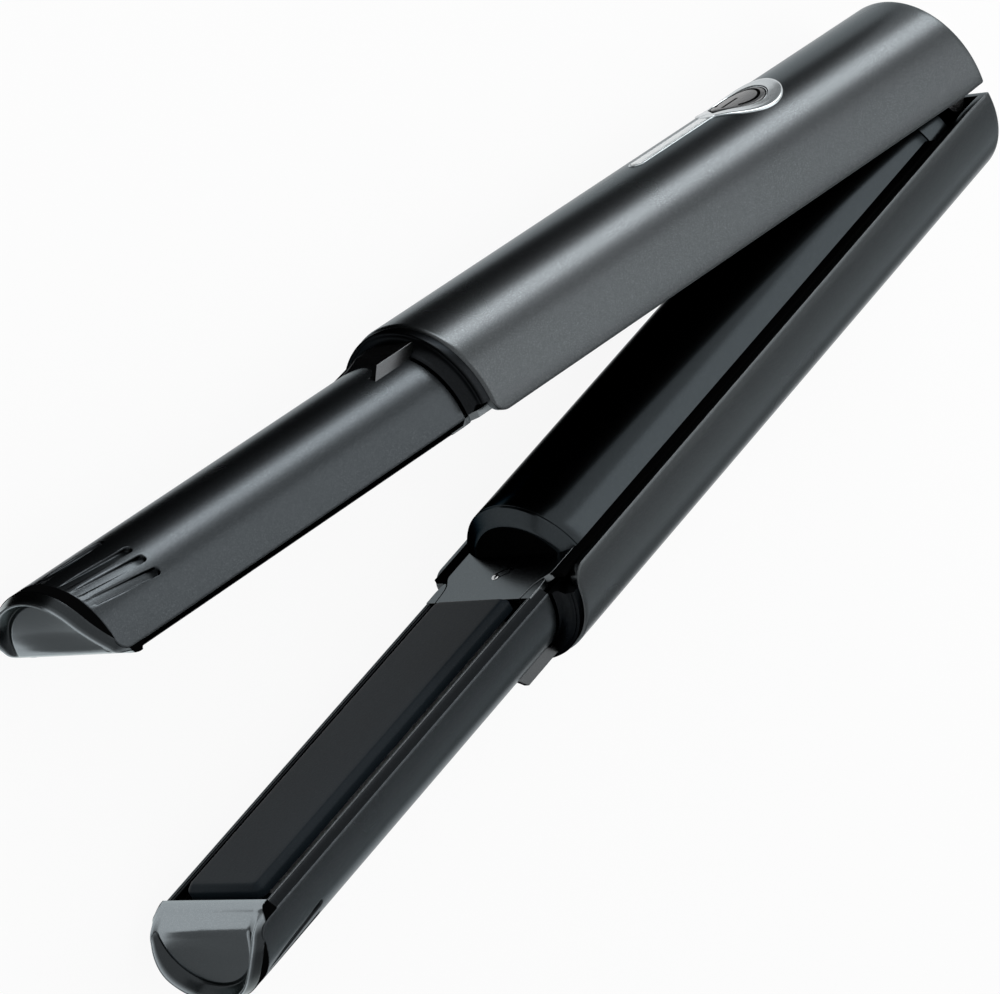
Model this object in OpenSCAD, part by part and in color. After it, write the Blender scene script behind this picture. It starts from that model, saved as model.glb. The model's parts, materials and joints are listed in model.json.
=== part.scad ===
// Cordless hair straightener, drawn open: two hinged arms with floating hot plates.
// It lies on its side. +X runs from the hinge to the tips, +Z along the hinge pin, Z = 0 below.
// Each arm is drawn in its own frame: x forward, y across, z outward from the parting plane.

/* [Pose] */
// Angle between the two arms as drawn (deg)
open_angle = 12.1; // [8:0.1:16]

/* [Handles] */
// Outside radius of both handle shells
handle_radius = 18.8; // [16:0.1:22]
// Height of every shell arc centre above the parting plane
arc_rise = 1.7; // [0.5:0.1:3]
// Wall of the handle shells
handle_wall = 2.0; // [1.4:0.1:2.6]
// Rear end of the handles, behind the hinge axis
rear_x = -4.5; // [-6:0.1:-4.3]
// Rear wall of the handle shells
rear_wall = 1.6; // [1.2:0.1:1.6]
// Length of the handle shells past the battery tube
handle_past_tube = 8.3; // [7:0.1:12]
// Parting edge of the upper handle shell
upper_edge = 1.0; // [0.6:0.1:2]
// Parting edge of the lower handle shell
lower_edge = 1.4; // [0.6:0.1:2]
// Rounding of the front parting corners
corner_round = 3.5; // [2:0.1:5]

/* [Barrels] */
// Step from the handle radius down to the barrel radius
barrel_step = 3.8; // [2.8:0.1:5.8]
// Wall of the barrel shells
barrel_wall = 1.5; // [1.2:0.1:2]
// Length of the barrel shells past the hot plates
barrel_past_plate = 8.0; // [7:0.5:14]
// Parting edge of the barrel shells
barrel_edge = 2.6; // [2:0.1:3.2]
// Length of a grip groove
groove_length = 15.5; // [8:0.5:24]
// Width of a grip groove
groove_width = 2.0; // [1:0.1:2.4]
// Length of the nose caps past the barrel shells
tip_length = 5.5; // [5:0.5:9]

/* [Plates] */
// Distance of the hot plates from the handle shells
plate_setback = 8.4; // [8:0.1:14]
// Length of the hot plates
plate_length = 84; // [60:0.5:100]
// Width of the hot plates
plate_width = 19.5; // [14:0.1:20]
// Amount the plate faces stand past the parting plane
plate_proud = 0.35; // [0:0.05:0.6]
// Inward travel of the floating plates
plate_travel = 0.8; // [0.4:0.1:0.8]

/* [Battery tube] */
// Radius of the tube arc that shows between the arms
tube_radius = 15.2; // [14:0.1:15.5]
// Distance of its arc centre from the parting plane
tube_centre = 6.2; // [5:0.1:7]
// Wall of the tube
tube_wall = 1.5; // [1:0.1:2]
// Seam between the hinge block and the tube
tube_start_x = 12.3; // [10:0.1:14]
// Length of the tube past its cells
tube_past_cells = 1.5; // [0.5:0.1:3]
// Length of the bevelled nose cap
nose_length = 2.3; // [1.5:0.1:3]
// Diameter of a battery cell
cell_diameter = 18.4; // [18:0.1:18.6]
// Length of a battery cell over its button
cell_length = 65.2; // [64:0.1:65.4]

/* [Hinge] */
// Radius of the hinge pin
pin_radius = 1.5; // [1:0.1:1.6]
// Half width of the knuckle on the lower arm
knuckle_half = 9.5; // [8:0.1:10]
// Thickness of each fork lug on the upper arm
lug_thickness = 3.2; // [2:0.1:3.3]
// Radial running clearance on the pin
pin_clearance = 0.05; // [0.02:0.01:0.09]
// Bore radius of the charging socket
socket_radius = 2.85; // [2:0.05:3]

/* [Controls] */
// Centre of the round power key along the arm
key_x = 43.6; // [40:0.1:50]
// Radius of the power key
key_radius = 5.6; // [4:0.1:6]
// Radius of the bright bezel round the key
bezel_radius = 8.9; // [8:0.1:10]
// Inward travel of the power key
key_travel = 0.6; // [0.3:0.1:0.8]
// Front end of the light bar
light_end_x = 77.0; // [70:0.1:90]
// Width of the light bar
light_width = 3.6; // [2:0.1:4]

/* [Clearances] */
// Gap between curved faces that do not touch
seat_gap = 0.3; // [0.3:0.05:0.5]
// Gap between close fitted faces of one body
fit_gap = 0.05; // [0.02:0.01:0.1]

/* [Hidden] */
big = 72;
mid = 32;
small = 20;
far = 60;

cell_start_x = tube_start_x - 2.9;
cells_end_x = cell_start_x + 2 * cell_length;
tube_end_x = cells_end_x + tube_past_cells;
handle_end_x = tube_end_x + handle_past_tube;
plate_start_x = handle_end_x + plate_setback;
plate_end_x = plate_start_x + plate_length;
barrel_end_x = plate_end_x + barrel_past_plate;
tip_x = barrel_end_x + tip_length;

barrel_radius = handle_radius - barrel_step;

half_open = open_angle / 2;
tip_bulge_z = barrel_radius;
front_reach = tip_x * cos(half_open) - tip_bulge_z * sin(half_open);
rear_reach = rear_x * cos(half_open) - (handle_radius + arc_rise) * sin(half_open);
hinge_x = -(front_reach + rear_reach) / 2;
hinge_z = handle_radius;
handle_inner = handle_radius - handle_wall;
barrel_inner = barrel_radius - barrel_wall;
barrel_start_x = handle_end_x + 4.3;

collar_face_x = handle_end_x + 1.4;
collar_outer = handle_radius - 0.4;
sleeve_outer = barrel_radius + 0.4;
sleeve_end_x = barrel_start_x - 0.5;
tenon_outer = barrel_radius - 0.7;
tenon_inner = tenon_outer - 1.3;
tenon_start_x = handle_end_x - 3.1;
collar_bore = tenon_outer + seat_gap;
spigot_length = 5.5;
ring_width = 0.5;
ring_height = 0.35;

rest_start_x = collar_face_x + 0.4;
rest_end_x = rest_start_x + 13.1;
rest_top = barrel_radius + arc_rise + 0.8;
rest_half = 6.2;
rest_low = barrel_radius - 5;
foot_x = rest_start_x + 4.8;
foot_z = barrel_inner + arc_rise - 1.5;
foot_radius = 1.4;

tube_hug = handle_inner - seat_gap;
nose_end_x = tube_end_x + nose_length;
cell_centre = 4.5;
cell_radius = cell_diameter / 2;
cell_bore = cell_radius + 0.3;
terminal_x = cell_start_x - 0.4;
ribs = 5;
rib_width = 2;
rib_start_x = tube_start_x + 5;
rib_pitch = (tube_end_x - 8 - rib_start_x) / (ribs - 1);

lug_inner = knuckle_half + seat_gap;
lug_outer = lug_inner + lug_thickness;
lug_radius = 2.8;
lug_length = 7.4;
bridge_z = 10.3;
bridge_length = 11.6;
clip_start = lug_outer + seat_gap;
knuckle_front_x = 6.0;
pin_half = clip_start + 0.9;
spring_turns = 4;
spring_wire = 0.45;
spring_half = 2.8;
spring_slot = 3.4;
spring_radius = pin_radius + 0.25 + spring_wire;
socket_z = 9.5;
socket_outer = socket_radius + 1.15;

panel_face = 1.0;
panel_under = 2.5;
panel_end_x = plate_start_x - 0.6;
panel_wide = handle_inner - 0.5;
panel_neck = barrel_radius - 3.9;
panel_arc_depth = 8;
panel_arc = (pow(panel_wide, 2) + pow(panel_arc_depth, 2)) / (2 * panel_arc_depth);
panel_arc_x = nose_end_x + 4.2 - panel_arc;
screw_x = handle_end_x - 0.2;
boss_radius = 2.6;
shank_radius = 1.0;
shank_length = 7;
head_height = 0.6;

frame_start_x = handle_end_x + 1.6;
frame_top = 1.3;
frame_half = barrel_radius - 1.2;
rail_half = barrel_inner - 0.9;
recess_half = barrel_radius - 2.5;
ledge_top = 3.3;
ledge_under = 4.5;
window_half = plate_width / 2 + 0.45;
cap_start_x = plate_end_x + 2.2;
cap_face = 0.7;
cap_corner = 3;
plate_back = 2.4;
flange_top = ledge_under + seat_gap;
flange_half = barrel_inner - 1.7;
flange_back = flange_top + 1.5;
neck_half = plate_width / 2 - 1.25;
spine_half = 6;
carrier_back = flange_top + 4.2;
pad_size = 9;
pad_start = carrier_back + plate_travel + 0.15;

liner_radius = tube_radius + 0.7;
liner_outer = liner_radius + 1.2;
liner_start_x = 14;
liner_end_x = tube_end_x - 2;
board_z = liner_outer - tube_centre + 1.1;
board_top = board_z + 1.6;
board_half = sqrt(pow(handle_inner - seat_gap, 2) - pow(board_top - arc_rise, 2)) - 2.23;
board_start_x = liner_start_x + 6;
board_end_x = liner_end_x - 7.3;
post_inset = 6;
module_length = 22;
switch_size = 6;
key_top = handle_radius - 0.1;
key_foot = key_top + arc_rise - 2.6;
bezel_top = handle_radius + 0.3;
neck_length = 1.0;
light_start_x = key_x + bezel_radius + neck_length;

// ---- helpers ----

// Extrudes a (y, z) outline along x
module along_x(from, to) {
  translate([from, 0, 0])
    rotate([90, 0, 90])
      linear_extrude(to - from)
        children();
}

// Extrudes an (x, z) outline along y
module along_y(from, to) {
  translate([0, to, 0])
    rotate([90, 0, 0])
      linear_extrude(to - from)
        children();
}

// Extrudes an (x, y) outline along z
module along_z(from, to) {
  translate([0, 0, from])
    linear_extrude(to - from)
      children();
}

// Half round outline: an arc over straight sides, cut off below the edge height
module half_round(radius, edge) {
  difference() {
    union() {
      translate([0, arc_rise])
        circle(radius, $fn = big);
      translate([-radius, -radius])
        square([2 * radius, radius + arc_rise]);
    }
    translate([-2 * far, edge - 4 * far])
      square([4 * far, 4 * far]);
  }
}

module half_ring(outer, inner, edge) {
  difference() {
    half_round(outer, edge);
    half_round(inner, edge - 9);
  }
}

// The parting corner that a rounded shell end leaves free, seen from the side
module corner_cut(end_x, edge, radius, gap = 0) {
  along_y(-far, far)
    difference() {
      translate([end_x - radius, edge - 1])
        square([radius + 1, radius + 1]);
      translate([end_x - radius, edge + radius])
        circle(radius + gap, $fn = mid);
    }
}

// Points of one half of an outline, followed by their mirror images in the first coordinate
function both_sides(points) = concat(
  points,
  [for (i = [len(points) - 1 : -1 : 0]) [-points[i][0], points[i][1]]]
);

// Places a piece of the lower arm, which is the mirror image of the arm frame
module on_lower() {
  translate([hinge_x, 0, hinge_z])
    rotate([0, 0, half_open])
      rotate([90, 0, 0])
        mirror([0, 0, 1])
          children();
}

module on_upper() {
  translate([hinge_x, 0, hinge_z])
    rotate([0, 0, -half_open])
      rotate([90, 0, 0])
        children();
}

// ---- handles ----

module handle_shell(edge) {
  difference() {
    along_x(rear_x, handle_end_x)
      half_round(handle_radius, edge);
    along_x(rear_x + rear_wall, handle_end_x + 1)
      half_round(handle_inner, edge - 9);
    corner_cut(handle_end_x, edge, corner_round);
    along_y(-far, far)
      polygon([[rear_x - 1, edge - 1], [1.6, edge - 1], [1.6, edge], [rear_x - 1, edge + 0.4]]);
  }
}

module upper_handle_shell() {
  color("#6b7073")
    on_upper()
      difference() {
        handle_shell(upper_edge);
        along_z(board_top, far)
          bezel_outline(2 * fit_gap);
        along_z(board_top, far)
          light_outline(2 * fit_gap);
      }
}

module lower_handle_shell() {
  color("#6b7073")
    on_lower()
      difference() {
        handle_shell(lower_edge);
        translate([rear_x - 1, 0, socket_z])
          rotate([0, 90, 0])
            cylinder(r = socket_outer + fit_gap, h = 4, $fn = mid);
      }
}

// ---- collars and finger rests ----

module collar(edge) {
  low = edge + corner_round;
  along_x(handle_end_x, collar_face_x)
    half_ring(collar_outer, collar_bore, low);
  along_x(collar_face_x, collar_face_x + ring_height)
    half_ring(collar_outer, collar_outer - ring_width, low);
  along_x(collar_face_x, collar_face_x + ring_height)
    half_ring(sleeve_outer + ring_width, collar_bore, low);
  along_x(handle_end_x, sleeve_end_x)
    half_ring(sleeve_outer, collar_bore, barrel_edge + 0.6);
  along_x(handle_end_x - spigot_length, handle_end_x)
    half_ring(handle_inner - seat_gap, collar_bore, low);
}

module upper_collar() {
  color("#17191b")
    on_upper()
      collar(upper_edge);
}

module lower_collar() {
  color("#17191b")
    on_lower()
      collar(lower_edge);
}

// A raised block on the crest whose front ramps down to the barrel
module finger_rest() {
  difference() {
    intersection() {
      along_x(rest_start_x, rest_end_x)
        polygon(both_sides([
          [rest_half, rest_low], [rest_half, rest_top - 2.3], [rest_half - 0.6, rest_top]
        ]));
      along_y(-far, far)
        polygon([
          [rest_start_x, rest_low], [rest_start_x, rest_top], [rest_start_x + 6, rest_top],
          [rest_start_x + 7, rest_top - 0.3], [rest_end_x, rest_top - 2.1], [rest_end_x, rest_low]
        ]);
    }
    translate([rest_start_x - 1, 0, arc_rise])
      rotate([0, 90, 0])
        cylinder(r = sleeve_outer + fit_gap, h = sleeve_end_x - rest_start_x + 1.2, $fn = big);
    translate([rest_start_x - 1, 0, arc_rise])
      rotate([0, 90, 0])
        cylinder(r = barrel_radius + fit_gap, h = far, $fn = big);
  }
  translate([foot_x, 0, foot_z])
    cylinder(r = foot_radius, h = rest_top - 0.2 - foot_z, $fn = small);
}

module upper_finger_rest() {
  color("#2b2f31")
    on_upper()
      finger_rest();
}

module lower_finger_rest() {
  color("#2b2f31")
    on_lower()
      finger_rest();
}

// ---- barrels ----

// One grip groove: a shallow round channel that runs out towards the tip
module groove(lean, yaw) {
  radius = groove_width / 2;
  groove_start_x = barrel_end_x - groove_length - 2;
  translate([0, 0, arc_rise])
    rotate([lean, 0, 0])
      translate([groove_start_x + radius, 0, barrel_radius + 0.25])
        rotate([0, 0, yaw]) {
          sphere(radius, $fn = small);
          rotate([0, 87.6, 0])
            cylinder(r = radius, h = groove_length, $fn = small);
        }
}

module barrel_shell() {
  difference() {
    union() {
      along_x(barrel_start_x, barrel_end_x)
        half_ring(barrel_radius, barrel_inner, barrel_edge);
      along_x(tenon_start_x, barrel_start_x + 2.1)
        half_ring(tenon_outer, tenon_inner, barrel_edge + 0.2);
      intersection() {
        translate([screw_x, 0, barrel_edge + 0.2])
          cylinder(r = boss_radius, h = barrel_radius, $fn = small);
        along_x(tenon_start_x, barrel_start_x)
          half_round(tenon_outer - 0.3, 0);
      }
    }
    corner_cut(barrel_end_x, barrel_edge, cap_corner);
    groove(0, 0);
    for (side = [-1, 1]) {
      groove(side * 26.1, side * 3.9);
      groove(side * 38.9, side * 5.1);
      groove(side * 52.7, side * 7.3);
    }
    translate([foot_x, 0, barrel_inner])
      cylinder(r = foot_radius + 2 * fit_gap, h = far, $fn = small);
    translate([screw_x, 0, 0])
      cylinder(r = shank_radius + fit_gap, h = panel_face + shank_length + 0.5, $fn = small);
  }
}

module upper_barrel_shell() {
  color("#41464a")
    on_upper()
      barrel_shell();
}

module lower_barrel_shell() {
  color("#41464a")
    on_lower()
      barrel_shell();
}

// Rim and ledge around the hot plate, with a rear apron that takes the inner panel
module plate_frame() {
  difference() {
    union() {
      along_x(barrel_start_x + 0.1, cap_start_x)
        polygon(both_sides([[frame_half, frame_top], [barrel_radius - 0.1, barrel_edge]]));
      along_x(frame_start_x, cap_start_x)
        polygon(both_sides([
          [frame_half, frame_top], [frame_half, barrel_edge],
          [rail_half, barrel_edge], [rail_half, ledge_under]
        ]));
    }
    translate([plate_start_x - seat_gap, -recess_half, 0])
      cube([2 * far, 2 * recess_half, ledge_top]);
    translate([plate_start_x - seat_gap, -window_half, 0])
      cube([plate_length + 2 * seat_gap, 2 * window_half, far]);
    along_z(0, panel_under)
      panel_outline(0.2);
    translate([screw_x, 0, 0])
      cylinder(r = boss_radius + seat_gap, h = far, $fn = small);
  }
}

module upper_frame() {
  color("#141618")
    on_upper()
      plate_frame();
}

module lower_frame() {
  color("#141618")
    on_lower()
      plate_frame();
}

// Tip with a scooped nose inside a thin raised rim
module tip_cap() {
  difference() {
    intersection() {
      union() {
        along_x(cap_start_x, barrel_end_x - cap_corner)
          polygon(both_sides([[frame_half, cap_face], [barrel_radius - 0.1, barrel_edge]]));
        along_x(cap_start_x, barrel_end_x + fit_gap)
          half_round(barrel_inner - 0.1, cap_face);
        intersection() {
          along_x(barrel_end_x - cap_corner, barrel_end_x + fit_gap)
            half_round(barrel_radius, cap_face);
          corner_cut(barrel_end_x, barrel_edge, cap_corner, fit_gap);
        }
        along_x(barrel_end_x + fit_gap, tip_x)
          half_round(barrel_radius, 0);
      }
      along_y(-far, far)
        polygon([
          [cap_start_x, cap_face], [tip_x - 8.3, cap_face], [tip_x - 5.9, 2.7], [tip_x - 4.5, 5.4],
          [tip_x - 2.2, 8.1], [tip_x - 1.3, 10], [tip_x - 0.3, tip_bulge_z - 2], [tip_x, tip_bulge_z],
          [tip_x - 0.6, tip_bulge_z + 1.4], [tip_x - 2.2, far], [cap_start_x, far]
        ]);
      translate([tip_x - 12, 0, arc_rise])
        rotate([0, 90, 0])
          cylinder(r1 = barrel_radius + 10.5, r2 = barrel_radius - 1.5, h = 12, $fn = big);
    }
    intersection() {
      along_x(cap_start_x + 3, tip_x + 1)
        half_round(barrel_radius - 1.9, -9);
      along_y(-far, far)
        polygon([
          [tip_x - 7.9, -1], [tip_x - 7.9, 1.0], [tip_x - 6.9, 3.5], [tip_x - 5.5, 6.6],
          [tip_x - 3.7, 9.5], [tip_x - 2.7, 12], [tip_x - 2.3, 14], [tip_x + 2, 14.4], [tip_x + 2, -1]
        ]);
    }
  }
}

module upper_tip_cap() {
  color("#83888b")
    on_upper()
      tip_cap();
}

module lower_tip_cap() {
  color("#83888b")
    on_lower()
      tip_cap();
}

// ---- inner panels ----

// Outline of the flat panel: wide in the handle, narrow between the barrel rims
module panel_outline(grow) {
  difference() {
    rotate([0, 0, -90])
      polygon(both_sides([
        [panel_wide, tube_end_x - 8], [panel_wide, handle_end_x - 1.3],
        [panel_neck + 3.3 + grow, handle_end_x - 0.4], [panel_neck + 1.3 + grow, handle_end_x + 0.8],
        [panel_neck + 0.3 + grow, sleeve_end_x - 0.9], [panel_neck + grow, panel_end_x + grow]
      ]));
    translate([panel_arc_x, 0])
      circle(panel_arc, $fn = big);
  }
}

module inner_panel() {
  difference() {
    along_z(panel_face, panel_under)
      panel_outline(0);
    translate([screw_x, 0, 0])
      cylinder(r = shank_radius + seat_gap, h = far, $fn = small);
  }
}

module upper_inner_panel() {
  color("#6d7274")
    on_upper()
      inner_panel();
}

module lower_inner_panel() {
  color("#6d7274")
    on_lower()
      inner_panel();
}

module panel_screw() {
  difference() {
    union() {
      translate([screw_x, 0, panel_face - head_height])
        cylinder(r = boss_radius - 0.4, h = head_height, $fn = small);
      translate([screw_x, 0, panel_face])
        cylinder(r = shank_radius, h = shank_length, $fn = small);
    }
    translate([screw_x, 0, panel_face - head_height])
      rotate([0, 0, -35])
        cube([2 * boss_radius, 0.6, 0.6], center = true);
  }
}

module upper_panel_screw() {
  color("#9aa0a3")
    on_upper()
      panel_screw();
}

module lower_panel_screw() {
  color("#9aa0a3")
    on_lower()
      panel_screw();
}

// ---- hot plates ----

module hot_plate() {
  half = plate_width / 2;
  bevel = 1.1;
  intersection() {
    along_x(plate_start_x, plate_end_x)
      polygon(both_sides([
        [half - bevel, -plate_proud], [half, bevel - plate_proud], [half, plate_back]
      ]));
    along_y(-half, half)
      polygon([
        [plate_start_x + bevel, -plate_proud], [plate_end_x - bevel, -plate_proud],
        [plate_end_x, bevel - plate_proud], [plate_end_x, plate_back],
        [plate_start_x, plate_back], [plate_start_x, bevel - plate_proud]
      ]);
  }
}

module upper_plate() {
  color("#1f2427")
    on_upper()
      hot_plate();
}

module lower_plate() {
  color("#1f2427")
    on_lower()
      hot_plate();
}

// Heater carrier: a neck through the window and a wide flange that stops on the ledge
module heater() {
  along_x(plate_start_x + 3, plate_end_x - 3)
    polygon(both_sides([
      [neck_half, plate_back], [neck_half, flange_top], [flange_half, flange_top],
      [flange_half, flange_back], [spine_half, flange_back], [spine_half, carrier_back]
    ]));
}

module upper_heater() {
  color("#b9bdbf")
    on_upper()
      heater();
}

module lower_heater() {
  color("#b9bdbf")
    on_lower()
      heater();
}

// Temperature sensing element lying on the back of the heater
module sensor(length, radius) {
  translate([(plate_start_x + plate_end_x - length) / 2, 0, carrier_back + radius])
    rotate([0, 90, 0])
      cylinder(r = radius, h = length, $fn = small);
}

module lower_thermal_fuse() {
  color("#d9d4c8")
    on_lower()
      sensor(11, 1.6);
}

module upper_thermistor() {
  color("#8a3b22")
    on_upper()
      sensor(5, 1.2);
}

// Silicone pad that backs the floating plate, seated on the inside of the barrel crest
module pad(from) {
  intersection() {
    translate([from, -pad_size / 2, pad_start])
      cube([pad_size, pad_size, far]);
    along_x(from, from + pad_size)
      half_round(barrel_inner - fit_gap, 0);
  }
}

module upper_rear_pad() {
  color("#b04a3a")
    on_upper()
      pad(plate_start_x + 8);
}

module upper_front_pad() {
  color("#b04a3a")
    on_upper()
      pad(plate_end_x - 8 - pad_size);
}

module lower_rear_pad() {
  color("#b04a3a")
    on_lower()
      pad(plate_start_x + 8);
}

module lower_front_pad() {
  color("#b04a3a")
    on_lower()
      pad(plate_end_x - 8 - pad_size);
}

// ---- battery tube ----

// Section of the tube: the visible arc, trimmed to sit inside the lower shell
module tube_section(inset) {
  intersection() {
    translate([0, tube_centre])
      circle(tube_radius - inset, $fn = big);
    translate([0, arc_rise])
      circle(tube_hug - inset, $fn = big);
  }
}

module battery_tube() {
  color("#101214")
    on_lower() {
      along_x(tube_start_x, tube_end_x)
        difference() {
          tube_section(0);
          tube_section(tube_wall);
        }
      for (rib = [0:ribs - 1])
        along_x(rib_start_x + rib_pitch * rib, rib_start_x + rib_pitch * rib + rib_width)
          difference() {
            tube_section(tube_wall / 2);
            translate([0, cell_centre])
              circle(cell_bore, $fn = mid);
          }
    }
}

module tube_nose_cap() {
  color("#101214")
    on_lower() {
      difference() {
        intersection() {
          translate([tube_end_x, 0, tube_centre])
            rotate([0, 90, 0])
              cylinder(r1 = tube_radius, r2 = tube_radius - 3.2, h = nose_length, $fn = big);
          translate([tube_end_x, 0, arc_rise])
            rotate([0, 90, 0])
              cylinder(r1 = tube_hug, r2 = tube_hug - 3.2, h = nose_length, $fn = big);
        }
        along_x(tube_end_x - 1, nose_end_x - 1.3)
          tube_section(tube_wall + 2);
      }
      along_x(tube_end_x - 3, tube_end_x + 0.3)
        difference() {
          tube_section(tube_wall + 0.1);
          tube_section(tube_wall + 1.3);
        }
    }
}

module battery_cell(index) {
  start_x = cell_start_x + index * cell_length;
  translate([start_x, 0, cell_centre])
    rotate([0, 90, 0]) {
      cylinder(r = cell_radius, h = cell_length - 1, $fn = mid);
      cylinder(r = 3, h = cell_length, $fn = small);
    }
}

module rear_cell() {
  color("#3f7d4e")
    on_lower()
      battery_cell(0);
}

module front_cell() {
  color("#3f7d4e")
    on_lower()
      battery_cell(1);
}

module rear_terminal() {
  color("#c9a45a")
    on_lower()
      translate([terminal_x, 0, cell_centre])
        rotate([0, 90, 0])
          cylinder(r = 6, h = cell_start_x - terminal_x, $fn = mid);
}

module front_terminal() {
  rise = nose_end_x - 1.3 - cells_end_x;
  color("#c9a45a")
    on_lower()
      translate([cells_end_x, 0, cell_centre])
        rotate([0, 90, 0])
          difference() {
            cylinder(r1 = 3.2, r2 = 5.4, h = rise, $fn = small);
            translate([0, 0, -0.1])
              cylinder(r1 = 2.2, r2 = 4.4, h = rise + 0.2, $fn = small);
          }
}

// ---- hinge ----

module hinge_block() {
  color("#101214")
    on_lower()
      difference() {
        union() {
          along_x(knuckle_front_x, tube_start_x)
            tube_section(0);
          intersection() {
            along_x(rear_x + rear_wall + seat_gap, tube_start_x)
              tube_section(0);
            translate([-far, -knuckle_half, -far])
              cube([2 * far, 2 * knuckle_half, 2 * far]);
          }
          along_x(tube_start_x - 1, tube_start_x + 3.5)
            tube_section(tube_wall + 0.1);
        }
        rotate([90, 0, 0])
          cylinder(r = pin_radius + pin_clearance, h = 2 * far, center = true, $fn = mid);
        translate([-far, -spring_slot, -far])
          cube([far + spring_slot, 2 * spring_slot, far + spring_slot]);
        translate([rear_x, 0, socket_z])
          rotate([0, 90, 0])
            cylinder(r = socket_outer + fit_gap, h = 5.6 - rear_x, $fn = mid);
        translate([terminal_x, 0, cell_centre])
          rotate([0, 90, 0])
            cylinder(r = cell_bore, h = far, $fn = mid);
      }
}

module hinge_pin() {
  color("#c4c8ca")
    on_lower()
      rotate([90, 0, 0])
        cylinder(r = pin_radius, h = 2 * pin_half, center = true, $fn = mid);
}

module pin_clip(side) {
  translate([0, side * (clip_start + 0.3), 0])
    rotate([90, 0, 0])
      difference() {
        cylinder(r = 2.6, h = 0.6, center = true, $fn = mid);
        cylinder(r = pin_radius + 0.02, h = 2, center = true, $fn = mid);
      }
}

module near_pin_clip() {
  color("#9aa0a3")
    on_lower()
      pin_clip(1);
}

module far_pin_clip() {
  color("#9aa0a3")
    on_lower()
      pin_clip(-1);
}

// Ring of points round one station of a path whose step stays square to the y axis
function station(centre, step, radius, sides) =
  let (along = step / norm(step), out = cross(along, [0, 1, 0]), across = cross(along, out))
  [for (i = [0:sides - 1])
    centre + radius * (cos(360 * i / sides) * out / norm(out) + sin(360 * i / sides) * across)];

// Tube of triangles along a path
module swept_tube(path, radius, sides) {
  last = len(path) - 1;
  rings = [for (i = [0:last])
    station(path[i], path[min(i + 1, last)] - path[max(i - 1, 0)], radius, sides)];
  walls = [for (i = [0:last - 1]) for (j = [0:sides - 1])
    let (a = i * sides + j, b = i * sides + (j + 1) % sides)
    [[a, b, a + sides], [b, b + sides, a + sides]]];
  lids = [for (j = [1:sides - 2]) [[0, j + 1, j], [last * sides, last * sides + j, last * sides + j + 1]]];
  polyhedron(
    points = [for (ring = rings) each ring],
    faces = concat([for (wall = walls) each wall], [for (lid = lids) each lid])
  );
}

// Torsion spring wound round the pin, one leg against the block and one standing up
module hinge_spring() {
  quarters = spring_turns * 4 + 1;
  coil = [for (i = [0:2 * quarters])
    let (angle = 90 + 45 * i)
    [spring_radius * cos(angle), spring_half * (1 - i / quarters), spring_radius * sin(angle)]];
  first_leg = [[spring_slot, spring_half, spring_radius], [spring_slot / 2, spring_half, spring_radius]];
  last_leg = [[-spring_radius, -spring_half, -3], [-spring_radius, -spring_half, -8.6]];
  echo(spring_gap = 2 * spring_half / quarters * 4 - 2 * spring_wire);
  color("#c4c8ca")
    on_lower()
      swept_tube(concat(first_leg, coil, last_leg), spring_wire, 6);
}

module charging_socket() {
  color("#23272a")
    on_lower()
      translate([rear_x, 0, socket_z])
        rotate([0, 90, 0])
          difference() {
            cylinder(r = socket_outer, h = 10, $fn = mid);
            translate([0, 0, -1])
              cylinder(r = socket_radius, h = 10, $fn = mid);
          }
}

// Fork of the upper arm: two lugs on the pin under a bridge that is held by the shell
module hinge_fork() {
  color("#1d2022")
    on_upper()
      difference() {
        union() {
          for (side = [-1, 1])
            intersection() {
              along_y(side * (lug_inner + lug_outer) / 2 - lug_thickness / 2,
                      side * (lug_inner + lug_outer) / 2 + lug_thickness / 2) {
                circle(lug_radius, $fn = mid);
                translate([0.2 - lug_radius, 0])
                  square([lug_length, bridge_z + 1.7]);
              }
              along_x(-lug_radius - 1, far)
                half_round(handle_inner - seat_gap, -9);
            }
          intersection() {
            translate([0.2 - lug_radius, -lug_outer, bridge_z])
              cube([bridge_length, 2 * lug_outer, 3.2]);
            along_x(-lug_radius, far)
              half_round(handle_inner - seat_gap, 0);
          }
          intersection() {
            translate([0, -3, bridge_z + 1.7])
              cube([6, 6, far]);
            along_x(-lug_radius, far)
              half_round(handle_inner - fit_gap, 0);
          }
        }
        rotate([90, 0, 0])
          cylinder(r = pin_radius + pin_clearance, h = 2 * far, center = true, $fn = mid);
      }
}

// ---- inside the upper handle ----

// Arched nest that the battery tube closes into, with posts for the board
module tube_nest() {
  color("#191b1d")
    on_upper()
      difference() {
        union() {
          along_x(liner_start_x, liner_end_x)
            intersection() {
              translate([0, -tube_centre])
                circle(liner_outer, $fn = big);
              half_round(handle_inner - seat_gap, panel_face + 0.3);
            }
          along_x(liner_start_x, liner_end_x)
            intersection() {
              translate([-far, panel_face + 0.3])
                square([2 * far, 1.2]);
              half_round(handle_inner - seat_gap, 0);
            }
          for (post_x = [board_start_x + post_inset, board_end_x - post_inset])
            for (side = [-1, 1])
              translate([post_x, side * (board_half - 2.7), board_z / 2])
                cylinder(r = 1.8, h = board_z / 2, $fn = small);
        }
        along_x(liner_start_x - 1, liner_end_x + 1)
          translate([0, -tube_centre])
            circle(liner_radius, $fn = big);
      }
}

module control_board() {
  color("#1f5a3a")
    on_upper()
      along_z(board_z, board_top)
        translate([board_start_x, -board_half])
          square([board_end_x - board_start_x, 2 * board_half]);
}

module tact_switch() {
  color("#2e3234")
    on_upper() {
      translate([key_x - switch_size / 2, -switch_size / 2, board_top])
        cube([switch_size, switch_size, 2.2]);
      translate([key_x, 0, board_top])
        cylinder(r = 1.6, h = key_foot - key_travel - 0.15 - board_top, $fn = small);
    }
}

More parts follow.
